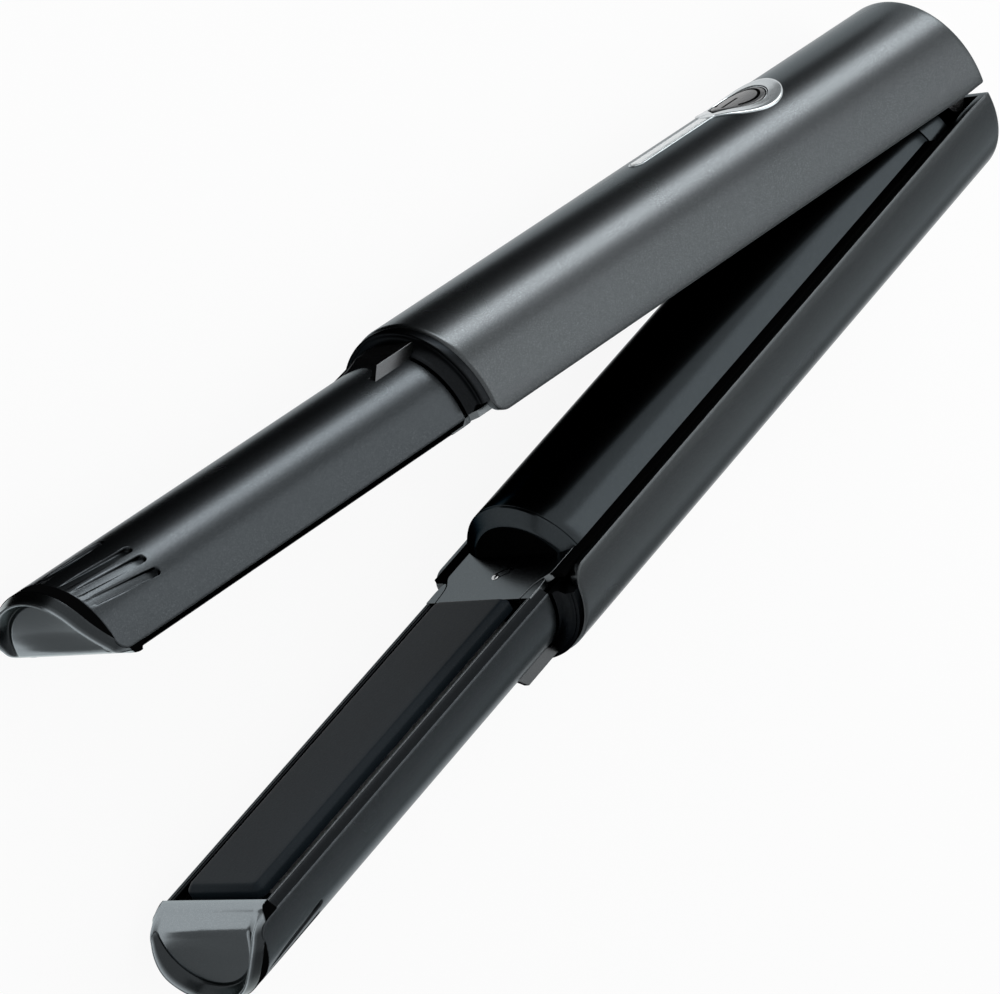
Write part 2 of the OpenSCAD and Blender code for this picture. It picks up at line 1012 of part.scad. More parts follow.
module status_led() {
  color("#e8eef2")
    on_upper()
      translate([light_start_x + 2, -1.2, board_top])
        cube([light_end_x - light_start_x - 5, 2.4, 2.6]);
}

module charge_module() {
  color("#30363a")
    on_upper()
      translate([board_end_x - module_length - 16, -module_length / 4, board_top])
        cube([module_length, module_length / 2, 1.6]);
}

// ---- power key, bezel and light bar ----

// Disc round the key with a short neck that runs into the light bar
module bezel_outline(grow) {
  neck = light_width / 2 + grow;
  shoulder_x = key_x + bezel_radius * 0.83;
  shoulder = bezel_radius * 0.55 + grow;
  translate([key_x, 0])
    circle(bezel_radius + grow, $fn = big);
  polygon([
    [key_x, -neck], [shoulder_x, -shoulder], [light_start_x + 0.4 + grow, -neck],
    [light_start_x + 0.4 + grow, neck], [shoulder_x, shoulder], [key_x, neck]
  ]);
}

module light_outline(grow) {
  half = light_width / 2 + grow;
  translate([light_start_x, -half])
    square([light_end_x - light_start_x - half, 2 * half]);
  translate([light_end_x - half, 0])
    circle(half, $fn = mid);
}

module button_bezel() {
  color("#b4bcc2")
    on_upper()
      difference() {
        union() {
          intersection() {
            along_z(board_top, far)
              bezel_outline(0);
            along_x(0, light_end_x)
              half_ring(bezel_top, handle_inner - 0.6, 0);
          }
          intersection() {
            along_z(board_top, far)
              bezel_outline(1.2);
            along_x(0, light_end_x)
              half_ring(handle_inner - 0.1, handle_inner - 1.1, 0);
          }
        }
        translate([key_x, 0, 0])
          cylinder(r = key_radius + seat_gap, h = far, $fn = mid);
        along_z(board_top, far)
          light_outline(2 * fit_gap);
      }
}

module light_bar() {
  color("#dfe6ea")
    on_upper()
      intersection() {
        along_z(board_top, far)
          light_outline(0);
        along_x(0, 2 * light_end_x)
          half_ring(bezel_top, handle_inner - 0.4, 0);
      }
}

module power_key() {
  color("#7d8386")
    on_upper() {
      intersection() {
        translate([key_x, 0, key_foot + 0.6])
          cylinder(r = key_radius, h = far, $fn = mid);
        along_x(0, light_end_x)
          half_round(key_top, 0);
      }
      translate([key_x, 0, key_foot])
        cylinder(r = 1.5, h = 1, $fn = small);
    }
}

// ---- nodes ----

lower_handle_shell();
lower_collar();
lower_finger_rest();
lower_barrel_shell();
lower_frame();
lower_tip_cap();
lower_inner_panel();
lower_panel_screw();
lower_plate();
lower_heater();
lower_thermal_fuse();
lower_rear_pad();
lower_front_pad();
battery_tube();
tube_nose_cap();
rear_cell();
front_cell();
rear_terminal();
front_terminal();
hinge_block();
hinge_pin();
near_pin_clip();
far_pin_clip();
hinge_spring();
charging_socket();
hinge_fork();
upper_handle_shell();
upper_collar();
upper_finger_rest();
upper_barrel_shell();
upper_frame();
upper_tip_cap();
upper_inner_panel();
upper_panel_screw();
upper_plate();
upper_heater();
upper_thermistor();
upper_rear_pad();
upper_front_pad();
tube_nest();
control_board();
tact_switch();
status_led();
charge_module();
button_bezel();
light_bar();
power_key();
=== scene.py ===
"""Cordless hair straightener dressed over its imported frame: surfaces, finishes, light and camera."""

import json
import logging
import math
from collections.abc import Callable, Sequence
from dataclasses import dataclass
from enum import Enum
from typing import Any

import bmesh
import bpy
import numpy as np
from mathutils import Matrix, Vector


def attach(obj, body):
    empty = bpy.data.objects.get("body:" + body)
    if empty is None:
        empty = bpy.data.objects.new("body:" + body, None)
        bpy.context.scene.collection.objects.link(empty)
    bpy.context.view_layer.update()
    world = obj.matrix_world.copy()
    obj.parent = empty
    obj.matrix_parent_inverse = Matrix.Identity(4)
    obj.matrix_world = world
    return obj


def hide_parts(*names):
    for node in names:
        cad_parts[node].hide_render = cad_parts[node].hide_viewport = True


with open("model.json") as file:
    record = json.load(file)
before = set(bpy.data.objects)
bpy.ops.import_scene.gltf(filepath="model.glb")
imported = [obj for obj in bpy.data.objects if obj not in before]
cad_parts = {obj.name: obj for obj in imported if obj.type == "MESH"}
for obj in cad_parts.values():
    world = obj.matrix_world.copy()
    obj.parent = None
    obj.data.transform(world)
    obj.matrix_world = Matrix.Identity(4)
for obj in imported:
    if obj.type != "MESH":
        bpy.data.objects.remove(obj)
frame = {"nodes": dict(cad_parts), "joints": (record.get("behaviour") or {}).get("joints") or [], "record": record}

LOG = logging.getLogger("straightener")
MM = 0.001
RISE = 1.7  # height of every arch's centre over the parting plane
FOOT_STEPS = 3  # points round each parting edge
Colour = tuple[float, float, float]
Point = tuple[float, float, float]
Profile = tuple[tuple[float, float], ...]  # pairs of numbers, each explained where it is used
Node = bpy.types.Node
Object = bpy.types.Object
Material = bpy.types.Material
WHITE = (1.0, 1.0, 1.0, 1.0)


class Side(Enum):
    """The two arms, named as their nodes are."""

    LOWER = "lower"
    UPPER = "upper"


# ---- shader values ----


def operator(operation: str, flipped: bool = False) -> Callable[["Value", Any], "Value"]:
    """Makes the method of one operator.

    Args:
        operation: name of the Math operation.
        flipped: puts the other operand first.
    Returns:
        A method that adds the Math node and wraps its result.
    """

    def method(self: "Value", other: Any) -> "Value":
        """Adds one Math node for the two operands."""
        pair = (other, self.source) if flipped else (self.source, other)
        node = self.book.node("ShaderNodeMath", {"operation": operation}, dict(enumerate(pair)))
        return Value(self.book, node.outputs[0])

    return method


class Value:
    """One shader socket with the operators that the finishes use; each one adds its Math node."""

    __add__, __radd__ = operator("ADD"), operator("ADD", True)
    __sub__, __rsub__ = operator("SUBTRACT"), operator("SUBTRACT", True)
    __mul__, __rmul__ = operator("MULTIPLY"), operator("MULTIPLY", True)
    capped = operator("MINIMUM")

    def __init__(self, book: "NodeBook", source: Any) -> None:
        """Keeps the node book and the wrapped socket."""
        self.book = book
        self.source = source

    def fade(self, low: float, high: float) -> "Value":
        """Smooth step that gives 0 at low and 1 at high."""
        node = self.book.node("ShaderNodeMapRange", {"interpolation_type": "SMOOTHSTEP"},
                              {"Value": self.source, "From Min": low, "From Max": high})
        return Value(self.book, node.outputs["Result"])


class NodeBook:
    """Builds the node tree of one material, or of the world."""

    def __init__(self, name: str, world: bool = False) -> None:
        """Starts an empty material, or a world, with its output node."""
        self.owner = bpy.data.worlds.new(name) if world else bpy.data.materials.new(name)
        self.owner.use_nodes = True
        self.tree = self.owner.node_tree
        self.tree.nodes.clear()
        self.output = self.node("ShaderNodeOutputWorld" if world else "ShaderNodeOutputMaterial")

    def node(self, kind: str, settings: dict[str, Any] | None = None,
             inputs: dict[Any, Any] | None = None) -> Node:
        """Adds any node.

        Args:
            kind: node type.
            settings: attributes, set first.
            inputs: socket name or index to a number, tuple, socket or Value.
        Returns:
            The new node.
        """
        node = self.tree.nodes.new(kind)
        for key, setting in (settings or {}).items():
            setattr(node, key, setting)
        for key, given in (inputs or {}).items():
            source = given.source if isinstance(given, Value) else given
            socket = node.inputs[key]
            if isinstance(source, bpy.types.NodeSocket):
                self.tree.links.new(source, socket)
            else:
                socket.default_value = source
        return node

    def place(self, stretch: Point = (1.0, 1.0, 1.0), turn: float = 0.0) -> Any:
        """Object coordinates, stretched along each axis and turned about the upright one, in radians."""
        coords = self.node("ShaderNodeTexCoord").outputs["Object"]
        mapping = self.node("ShaderNodeMapping", {}, {
            "Vector": coords, "Rotation": (0.0, 0.0, turn), "Scale": stretch})
        return mapping.outputs["Vector"]

    def noise(self, scale: float, detail: float = 2.0, stretch: Point = (1.0, 1.0, 1.0)) -> Value:
        """Noise between 0 and 1: its waves per metre, its finer layers and the coordinates' stretch."""
        node = self.node("ShaderNodeTexNoise", {}, {
            "Vector": self.place(stretch), "Scale": scale, "Detail": detail})
        return Value(self, node.outputs["Fac"])

    def cells(self, scale: float) -> Value:
        """Distance to the nearest cell point, for grains and pits."""
        node = self.node("ShaderNodeTexVoronoi", {}, {"Vector": self.place(), "Scale": scale})
        return Value(self, node.outputs["Distance"])

    def blend(self, factor: Any, first: Any, second: Any) -> Any:
        """Mixes two colours, each a socket or RGB; a factor of 0 gives the first and 1 the second."""
        full = [(*c, 1.0) if isinstance(c, tuple) else c for c in (first, second)]
        node = self.node("ShaderNodeMix", {"data_type": "RGBA"}, {0: factor, 6: full[0], 7: full[1]})
        return node.outputs[2]

    def bump(self, height: Value, strength: float, depth: float) -> Any:
        """Bumps the normal by a height value, with the share that shows and one unit's height in metres."""
        node = self.node("ShaderNodeBump", {}, {"Height": height, "Strength": strength, "Distance": depth})
        return node.outputs["Normal"]

    def finish(self, **sockets: Any) -> Material:
        """Adds the Principled shader, its socket names with underscores, and joins it to the output."""
        inputs = {key.replace("_", " "): given for key, given in sockets.items()}
        shader = self.node("ShaderNodeBsdfPrincipled", {}, inputs)
        self.tree.links.new(shader.outputs[0], self.output.inputs["Surface"])
        return self.owner

    def background(self, lit: Node, seen: Node, share: float = 1.0) -> Any:
        """Shows one shader to the rays that see the background, and another to the rest.

        Args:
            lit: shader node for the rays that light the object.
            seen: shader node for rays from the camera, off metal and through glass.
            share: how much of the seen shader those rays get.
        Returns:
            The finished material or world.
        """
        path = self.node("ShaderNodeLightPath").outputs
        rays = Value(self, path["Is Camera Ray"]) + path["Is Glossy Ray"] + path["Is Transmission Ray"]
        mix = self.node("ShaderNodeMixShader", {}, {
            0: rays.capped(1.0) * share, 1: lit.outputs[0], 2: seen.outputs[0]})
        self.tree.links.new(mix.outputs[0], self.output.inputs["Surface"])
        return self.owner


# ---- finishes ----


@dataclass(frozen=True)
class Finish:
    """One finish: the name of its material and its main colour."""

    name: str
    body: Colour

    def build(self) -> Material:
        """Makes the material; each kind of finish has its own way."""
        raise NotImplementedError


@dataclass(frozen=True)
class SatinMetal(Finish):
    """Satin coating, from gunmetal to black: metal flakes under a skin, duller at grazing angles.

    A mesh attribute named painted_shade, from 0 to 1, darkens it towards near-black: painted shade where the
    coating lies in a groove or a gap.
    """

    flake: Colour
    grazing: float = 0.4
    roughness: float = 0.24

    def build(self) -> Material:
        """Flakes vary the colour, a slow cloud varies the satin, and a fine skin bumps it."""
        book = NodeBook(self.name)
        flakes = book.noise(5200.0, 1.0).fade(0.45, 0.75)
        cloud = book.noise(38.0, 3.0)
        skin = book.noise(2600.0, 1.0)
        # Painted shade: the attribute blends the flaked colour towards near-black in grooves and gaps.
        painted_shade = book.node("ShaderNodeAttribute", {"attribute_name": "painted_shade"}).outputs["Fac"]
        colour = book.blend(painted_shade, book.blend(flakes, self.body, self.flake), (0.004, 0.0045, 0.005))
        return book.finish(
            Base_Color=colour, Metallic=1.0, Roughness=cloud * 0.03 + (self.roughness - 0.015),
            Specular_Tint=(self.grazing * 0.94, self.grazing, self.grazing * 1.03, 1.0),
            Normal=book.bump(skin, 0.25, 0.000004))


@dataclass(frozen=True)
class MattePlastic(Finish):
    """Fine grained moulded plastic."""

    roughness: float = 0.5
    gloss: float = 0.5
    grain: float = 2400.0
    depth: float = 0.00002

    def build(self) -> Material:
        """A fine grain bumps the surface, and a cloud varies the colour by a few percent."""
        book = NodeBook(self.name)
        grain = book.noise(self.grain, 2.0)
        cloud = book.noise(70.0, 3.0)
        paler = tuple(min(1.0, c * 1.12 + 0.001) for c in self.body)
        return book.finish(
            Base_Color=book.blend(cloud, self.body, paler),
            Roughness=grain * 0.08 + (self.roughness - 0.04), Specular_IOR_Level=self.gloss,
            Normal=book.bump(grain, 0.5, self.depth))


@dataclass(frozen=True)
class CeramicCoat(Finish):
    """Matt ceramic coating of the hot plates with a fine grain."""

    speck: Colour

    def build(self) -> Material:
        """Small cells pit the coating and leave paler specks; slow bands stand for wiped heat marks."""
        book = NodeBook(self.name)
        pits = book.cells(1700.0)
        specks = 1.0 - pits.fade(0.05, 0.35)
        fine = book.noise(3300.0, 2.0)
        heat = book.noise(26.0, 2.0, (1.0, 0.5, 1.0))
        worn = book.blend(heat.fade(0.35, 0.7) * 0.35, self.body, self.speck)
        return book.finish(
            Base_Color=book.blend(specks * 0.55, worn, self.speck),
            Roughness=fine * 0.12 + 0.5, Specular_IOR_Level=0.12,
            Normal=book.bump(fine * 0.6 + pits * 0.5, 0.6, 0.00003))


@dataclass(frozen=True)
class Metal(Finish):
    """Bare metal with a drawn or turned grain."""

    roughness: float = 0.25
    grain: float = 1800.0
    metallic: float = 1.0

    def build(self) -> Material:
        """A stretched noise stands for the grain, in the roughness, the colour and a slight bump."""
        book = NodeBook(self.name)
        grain = book.noise(self.grain, 3.0, (0.05, 1.0, 1.0))
        darker = tuple(c * 0.82 for c in self.body)
        return book.finish(
            Base_Color=book.blend(grain, darker, self.body), Metallic=self.metallic,
            Roughness=grain * 0.1 + (self.roughness - 0.05),
            Normal=book.bump(grain, 0.2, 0.00001))


@dataclass(frozen=True)
class Silicone(Finish):
    """Soft silicone with a dusty bloom."""

    def build(self) -> Material:
        """A fine bloom lightens the colour; a soft grain bumps it."""
        book = NodeBook(self.name)
        bloom = book.noise(800.0, 3.0)
        pale = tuple(c * 0.8 + 0.12 for c in self.body)
        return book.finish(
            Base_Color=book.blend(bloom.fade(0.5, 0.9) * 0.4, self.body, pale),
            Roughness=bloom * 0.15 + 0.5, Subsurface_Weight=0.05,
            Normal=book.bump(bloom, 0.4, 0.00004))


@dataclass(frozen=True)
class CircuitBoard(Finish):
    """Solder mask over copper tracks."""

    track: Colour
    pad: Colour

    def build(self) -> Material:
        """Bricks of two sizes give the tracks under the mask; small cells give the bare pads."""
        book = NodeBook(self.name)
        tracks = book.node("ShaderNodeTexBrick", {"offset": 0.35}, {
            "Vector": book.place(turn=0.105), "Scale": 260.0, "Mortar Size": 0.03,
            "Brick Width": 1.6, "Row Height": 0.35})
        lines = Value(book, tracks.outputs["Fac"])
        dots = 1.0 - book.cells(420.0).fade(0.16, 0.2)
        colour = book.blend(lines, self.body, self.track)
        return book.finish(
            Base_Color=book.blend(dots, colour, self.pad), Metallic=dots * 0.9,
            Roughness=lines * 0.1 + 0.3, Normal=book.bump(lines + dots, 0.3, 0.00003))


@dataclass(frozen=True)
class CellWrap(Finish):
    """Shrink film round a battery cell, with bright bands."""

    band: Colour

    def build(self) -> Material:
        """Rings across the cell stand for the overlaps of the film; a cloud for its wrinkles."""
        book = NodeBook(self.name)
        wave = book.node("ShaderNodeTexWave", {"bands_direction": "X"}, {
            "Vector": book.place(turn=-0.105), "Scale": 24.0, "Distortion": 0.4})
        rings = Value(book, wave.outputs["Fac"]).fade(0.93, 0.99)
        wrinkle = book.noise(260.0, 3.0)
        return book.finish(
            Base_Color=book.blend(rings, self.body, self.band), Roughness=wrinkle * 0.2 + 0.25,
            Normal=book.bump(wrinkle, 0.3, 0.00005))


@dataclass(frozen=True)
class ClearLamp(Finish):
    """Frosted clear light guide over a bright base."""

    edge: Colour

    def build(self) -> Material:
        """A fine frost varies the roughness and leaves slightly darker grains."""
        book = NodeBook(self.name)
        frost = book.noise(1500.0, 2.0)
        return book.finish(
            Base_Color=book.blend(frost.fade(0.3, 0.8), self.body, self.edge), Metallic=0.35,
            Roughness=frost * 0.12 + 0.16, Coat_Weight=0.6, Coat_Roughness=0.08,
            Normal=book.bump(frost, 0.2, 0.00001))


FINISHES: dict[str, Finish] = {
    "handle": SatinMetal("gunmetal_handle", (0.050, 0.055, 0.058), (0.080, 0.087, 0.091), 0.8, 0.27),
    "barrel": SatinMetal("gunmetal_barrel", (0.031, 0.035, 0.038), (0.052, 0.058, 0.062), 0.75, 0.27),
    "trim": SatinMetal("black_trim", (0.009, 0.010, 0.011), (0.014, 0.0155, 0.017), 0.1, 0.3),
    "tip": SatinMetal("grey_tip", (0.264, 0.296, 0.316), (0.318, 0.351, 0.370), 1.0, 0.22),
    "rest": SatinMetal("rest_coat", (0.095, 0.10, 0.104), (0.12, 0.126, 0.13), 0.1, 0.24),
    "panel": SatinMetal("panel_coat", (0.110, 0.121, 0.127), (0.135, 0.148, 0.155), 0.6, 0.22),
    "plate": CeramicCoat("plate_coating", (0.0045, 0.0085, 0.0120), (0.013, 0.020, 0.0265)),
    "heater": Metal("heater_aluminium", (0.62, 0.63, 0.64), 0.35),
    "tube": SatinMetal("tube_coat", (0.028, 0.033, 0.036), (0.038, 0.044, 0.048), 0.12, 0.2),
    "cell": CellWrap("cell_film", (0.05, 0.22, 0.09), (0.6, 0.62, 0.6)),
    "contact": Metal("contact_nickel", (0.72, 0.62, 0.42), 0.3),
    "hinge_plastic": SatinMetal("hinge_coat", (0.028, 0.033, 0.036), (0.038, 0.044, 0.048), 0.12, 0.2),
    "steel": Metal("pin_steel", (0.56, 0.57, 0.58), 0.22),
    "socket": MattePlastic("socket_plastic", (0.012, 0.013, 0.014), 0.35),
    "nest": MattePlastic("nest_plastic", (0.0012, 0.0013, 0.0014), 0.7, 0.0),
    "board": CircuitBoard(
        "control_board_mask", (0.012, 0.075, 0.035), (0.03, 0.14, 0.06), (0.7, 0.66, 0.5)),
    "part": MattePlastic("component_resin", (0.018, 0.019, 0.02), 0.45),
    "lamp": ClearLamp("light_guide", (0.55, 0.58, 0.59), (0.42, 0.45, 0.46)),
    "bezel": Metal("bezel_silver", (0.50, 0.54, 0.56), 0.2, metallic=0.75),
    "key": Metal("key_metal", (0.058, 0.061, 0.064), 0.28, metallic=0.3),
    "pad": Silicone("pad_silicone", (0.42, 0.09, 0.05)),
    "fuse": MattePlastic("fuse_ceramic", (0.55, 0.5, 0.42), 0.5),
}


class Finishes:
    """Makes each slot's material once and dresses pieces and CAD nodes with it."""

    def __init__(self, slots: dict[str, str]) -> None:
        """Keeps the record's node-to-slot table; no material is built and no node replaced yet."""
        self.slots = slots
        self.shelf: dict[str, Material] = {}
        self.replaced: set[str] = set()

    def material(self, slot: str) -> Material:
        """The material of a slot, built on first use."""
        if slot not in self.shelf:
            self.shelf[slot] = FINISHES[slot].build()
        return self.shelf[slot]

    def dress(self, piece: Object, slot: str, body: str, node: str = "") -> None:
        """Dresses a new piece: the material of its slot, the body it rides, and the hidden node it stands for."""
        piece.data.materials.append(self.material(slot))
        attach(piece, body)
        if node:
            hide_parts(node)
            self.replaced.add(node)

    def dress_rest(self) -> None:
        """Gives every CAD node that no piece stands for the material of its slot."""
        for node in [node for node in self.slots if node not in self.replaced]:
            shown = frame["nodes"][node]
            material = self.material(self.slots[node])
            if not shown.material_slots:
                shown.data.materials.append(material)
            for place in shown.material_slots:
                place.material = material


# ---- places and meshes ----


@dataclass(frozen=True)
class ArmPlace:
    """Where one arm stands: x forward from the hinge, y across, z outward from the parting plane."""

    side: Side
    hinge: Point
    half_open: float

    @property
    def edge(self) -> float:
        """Height of the handle's parting edge; the lower arm's is higher."""
        return 1.4 if self.side is Side.LOWER else 1.0

    def own(self, name: str) -> str:
        """Full name of one of this arm's nodes, bodies or pieces."""
        return f"{self.side.value}_{name}"

    def to_row(self, points: np.ndarray) -> np.ndarray:
        """Arm millimetres to metres in the row frame.

        X = hinge + x cos - z sin and Z = hinge + y; Y = x sin + z cos, negative on the upper arm.

        Args:
            points: array of (x, y, z) in millimetres.
        Returns:
            Array of the same shape in metres.
        """
        x, y, z = np.moveaxis(points, -1, 0) * MM
        cos, sin = math.cos(self.half_open), math.sin(self.half_open)
        sign = 1.0 if self.side is Side.LOWER else -1.0
        out = np.stack([x * cos - z * sin, sign * (x * sin + z * cos), y], axis=-1)
        return out + np.array(self.hinge)


class SurfaceMesh:
    """Collects grids and caps in arm millimetres and makes one smooth, closed object of them."""

    def __init__(self, name: str) -> None:
        """Starts an empty mesh with a name."""
        self.name = name
        self.points: list[np.ndarray] = []
        self.shade: list[np.ndarray] = []
        self.quads: list[np.ndarray] = []
        self.polygons: list[list[int]] = []
        self.count = 0

    def grid(self, points: np.ndarray, wrap_rows: bool = False, wrap_columns: bool = False,
             painted_shade: np.ndarray | float = 0.0) -> np.ndarray:
        """Adds a grid of points joined by quads.

        Args:
            points: array (rows, columns, 3).
            wrap_rows: joins the last row to the first.
            wrap_columns: joins the last column to the first.
            painted_shade: painted shade of each point, from 0 to 1, that the finish darkens it by.
        Returns:
            The index of every grid point.
        """
        rows, columns = points.shape[:2]
        index = np.arange(rows * columns).reshape(rows, columns) + self.count
        self.points.append(points.reshape(-1, 3))
        self.shade.append(np.broadcast_to(painted_shade, (rows, columns)).ravel())
        self.count += rows * columns
        full = np.concatenate([index, index[:1]], axis=0) if wrap_rows else index
        if wrap_columns:
            full = np.concatenate([full, full[:, :1]], axis=1)
        corners = [full[:-1, :-1], full[:-1, 1:], full[1:, 1:], full[1:, :-1]]
        self.quads.append(np.stack(corners, axis=-1).reshape(-1, 4))
        return index

    def strip(self, first: np.ndarray, second: np.ndarray) -> None:
        """Joins two rows of point indices by quads."""
        self.quads.append(np.stack([first[:-1], first[1:], second[1:], second[:-1]], axis=-1))

    def cap(self, *loops: np.ndarray) -> None:
        """Closes each loop of point indices with one polygon."""
        self.polygons += [loop.tolist() for loop in loops]

    def loft(self, loops: np.ndarray) -> None:
        """Adds closed loops (stations, points, 3) with both ends capped."""
        index = self.grid(loops, wrap_columns=True)
        self.cap(index[0], index[-1])

    def sweep(self, rows: np.ndarray) -> None:
        """Adds a closed section swept over an arch (section points, places, 3), capped at both feet."""
        index = self.grid(rows, wrap_rows=True)
        self.cap(index[:, 0], index[:, -1])

    def layers(self, plans: Sequence[np.ndarray], heights: Sequence[float]) -> None:
        """Lofts (x, y) plans, each at its own height."""
        self.loft(np.array([np.column_stack([plan, np.full(len(plan), height)])
                            for plan, height in zip(plans, heights)]))

    def rails(self, x: np.ndarray, section: np.ndarray) -> None:
        """Adds a (y, z) section carried along x, and its mirror image on the other side."""
        for sign in (-1.0, 1.0):
            self.loft(carried(x, section * (sign, 1.0)))

    def shell(self, loops: np.ndarray, count: int, painted_shade: np.ndarray | float = 0.0) -> None:
        """Adds C sections; each end gets quads between the arches and a polygon at each foot.

        Args:
            loops: sections as shell_loops makes them.
            count: points along each arch.
            painted_shade: painted shade of each point, from 0 to 1.
        """
        index = self.grid(loops, wrap_columns=True, painted_shade=painted_shade)
        back = count + 2 * FOOT_STEPS
        for row in (index[0], index[-1]):
            self.strip(row[:count], row[back:back + count][::-1])
            self.cap(row[count - 1:back + 1], np.append(row[back + count - 1:], row[0]))

    def build(self, place: ArmPlace, sharp: float) -> Object:
        """Makes the object: merges doubled points, turns the faces outwards and smooths it.

        Args:
            place: the arm it stands on.
            sharp: edges that turn more than this, in degrees, stay sharp.
        Returns:
            The object, linked to the scene, at the origin.
        """
        mesh = bpy.data.meshes.new(self.name)
        faces = [face for quads in self.quads for face in quads.tolist()] + self.polygons
        mesh.from_pydata(place.to_row(np.concatenate(self.points)).tolist(), [], faces)
        # The painted shade of every point goes to the finish as a mesh attribute.
        shade = np.concatenate(self.shade).astype(np.float32)
        if shade.any():
            mesh.attributes.new("painted_shade", "FLOAT", "POINT").data.foreach_set("value", shade)
        work = bmesh.new()
        work.from_mesh(mesh)
        bmesh.ops.remove_doubles(work, verts=work.verts, dist=1e-6)
        bmesh.ops.dissolve_degenerate(work, edges=work.edges, dist=1e-7)
        bmesh.ops.recalc_face_normals(work, faces=work.faces)
        work.to_mesh(mesh)
        work.free()
        mesh.shade_smooth()
        mesh.set_sharp_from_angle(angle=math.radians(sharp))
        piece = bpy.data.objects.new(self.name, mesh)
        bpy.context.scene.collection.objects.link(piece)
        return piece


# ---- outlines ----


def quarter(steps: int) -> np.ndarray:
    """Angles from 0 to a right angle."""
    return np.linspace(0.0, np.pi / 2, steps)


def full_turn(steps: int) -> np.ndarray:
    """Angles once round; the last is left out, because it is the first again."""
    return np.linspace(0.0, 2.0 * np.pi, steps, endpoint=False)


def evenly(count: int) -> np.ndarray:
    """Places from one foot of an arch (-1) to the other (1), evenly spaced."""
    return np.linspace(-1.0, 1.0, count)


def smooth_step(values: np.ndarray, low: float, high: float) -> np.ndarray:
    """Eased step: t squared times (3 - 2t), with t running from 0 at low to 1 at high."""
    t = np.clip((values - low) / (high - low), 0.0, 1.0)
    return t * t * (3.0 - 2.0 * t)


def smooth_curve(values: np.ndarray, knots: Sequence[float], heights: Sequence[float]) -> np.ndarray:
    """Smooth curve through knots: cubic spans that share the slope at every knot.

    Args:
        values: where to read the curve.
        knots: rising places of the knots.
        heights: the curve's height at each knot.
    Returns:
        The heights at the values.
    """
    at, high = np.asarray(knots, float), np.asarray(heights, float)
    slope = np.gradient(high, at)
    values = np.clip(values, at[0], at[-1])
    i = np.clip(np.searchsorted(at, values, side="right") - 1, 0, len(at) - 2)
    span = at[i + 1] - at[i]
    t = (values - at[i]) / span
    rising, falling = t * t * (3.0 - 2.0 * t), t * (1.0 - t)
    bend = falling * span * ((1.0 - t) * slope[i] - t * slope[i + 1])
    return high[i] + (high[i + 1] - high[i]) * rising + bend


def arch_line(radius: np.ndarray | float, low: np.ndarray | float, share: np.ndarray) -> np.ndarray:
    """Points over an arch from one foot to the other.

    Above the arc centre (0, RISE) they lie on the arc; below it the sides run straight down to low.

    Args:
        radius: radius of each station.
        low: height of both feet of each station.
        share: places of the points, from -1 to 1, one row for all stations or one for each.
    Returns:
        Array (stations, points, 2) of (y, z).
    """
    radius = np.atleast_1d(np.asarray(radius, float))[:, None]
    low = np.atleast_1d(np.asarray(low, float))[:, None] + 0.0 * radius
    side = np.pi / 2 + np.maximum(RISE - low, 0.0) / radius
    cut = np.arccos(np.clip((low - RISE) / radius, -1.0, 1.0))
    angle = share * np.where(low < RISE, side, cut)
    past = np.abs(angle) - np.pi / 2
    y = np.where(past > 0.0, np.sign(angle), np.sin(angle)) * radius
    z = RISE + np.where(past > 0.0, -past, np.cos(angle)) * radius
    return np.stack([y, z], axis=-1)


def with_x(x: np.ndarray, section: np.ndarray) -> np.ndarray:
    """Puts x stations in front of (stations, count, 2) sections."""
    x = np.broadcast_to(np.asarray(x, float).reshape(-1, 1), section.shape[:2])
    return np.concatenate([x[..., None], section], axis=-1)


def carried(x: np.ndarray, section: np.ndarray) -> np.ndarray:
    """One (y, z) section repeated at every x station."""
    return with_x(x, np.broadcast_to(section, (len(x), *section.shape)))


def draw_in(points: np.ndarray, share: np.ndarray) -> None:
    """Moves points towards the arc's axis, in place, by a share of their distance from it."""
    points[..., 1] *= 1.0 - share
    points[..., 2] -= (points[..., 2] - RISE) * share


def end_rounding(start: float, end: float, fillets: tuple[float, float],
                 inner: np.ndarray) -> tuple[np.ndarray, np.ndarray]:
    """Stations of a piece whose two ends are rounded.

    At the ends x = end -/+ f (1 - cos a) and the inset is f (1 - sin a), for a from 0 to a right angle.

    Args:
        start: rear end.
        end: front end.
        fillets: rounding radius f of the rear and the front end.
        inner: further stations between the ends.
    Returns:
        The x of every station and its inset.
    """
    a = quarter(6)
    rear, front = fillets
    keep = inner[(inner > start + rear + 0.1) & (inner < end - front - 0.1)]
    x = np.concatenate([start + rear * (1.0 - np.cos(a)), keep, end - front * (1.0 - np.cos(a[::-1]))])
    return x, np.concatenate([rear * (1.0 - np.sin(a)), 0.0 * keep, front * (1.0 - np.sin(a[::-1]))])


def corner_stations(end: float, radius: float, steps: int) -> np.ndarray:
    """Stations along a rounded front corner: x = end - r + r sin a, for a up to 68 degrees."""
    return end - radius + radius * np.sin(np.linspace(0.0, math.radians(68.0), steps))


def rounded_corner(x: np.ndarray, end: float, edge: float, radius: float) -> np.ndarray:
    """Height of the parting edge: edge + r - sqrt(r squared - (x - (end - r)) squared) near the end."""
    run = np.clip(x - (end - radius), 0.0, radius)
    return edge + radius - np.sqrt(radius ** 2 - run ** 2)


def rounded_plan(first: float, last: float, half: float, corner: float, steps: int = 7) -> np.ndarray:
    """Rectangle in the plan (x, y) whose corners are arcs about their own centres.

    Args:
        first: lowest x.
        last: highest x.
        half: half width.
        corner: corner radius.
        steps: points per corner.
    Returns:
        Array (4 * steps, 2).
    """
    a = quarter(steps)
    arc = np.stack([np.cos(a), np.sin(a)], axis=-1) * corner
    x0, x1, w = first + corner, last - corner, half - corner
    loops = []
    for centre in ((x1, w), (x0, w), (x0, -w), (x1, -w)):
        loops.append(arc + centre)
        arc = np.stack([-arc[:, 1], arc[:, 0]], axis=-1)
    return np.concatenate(loops)


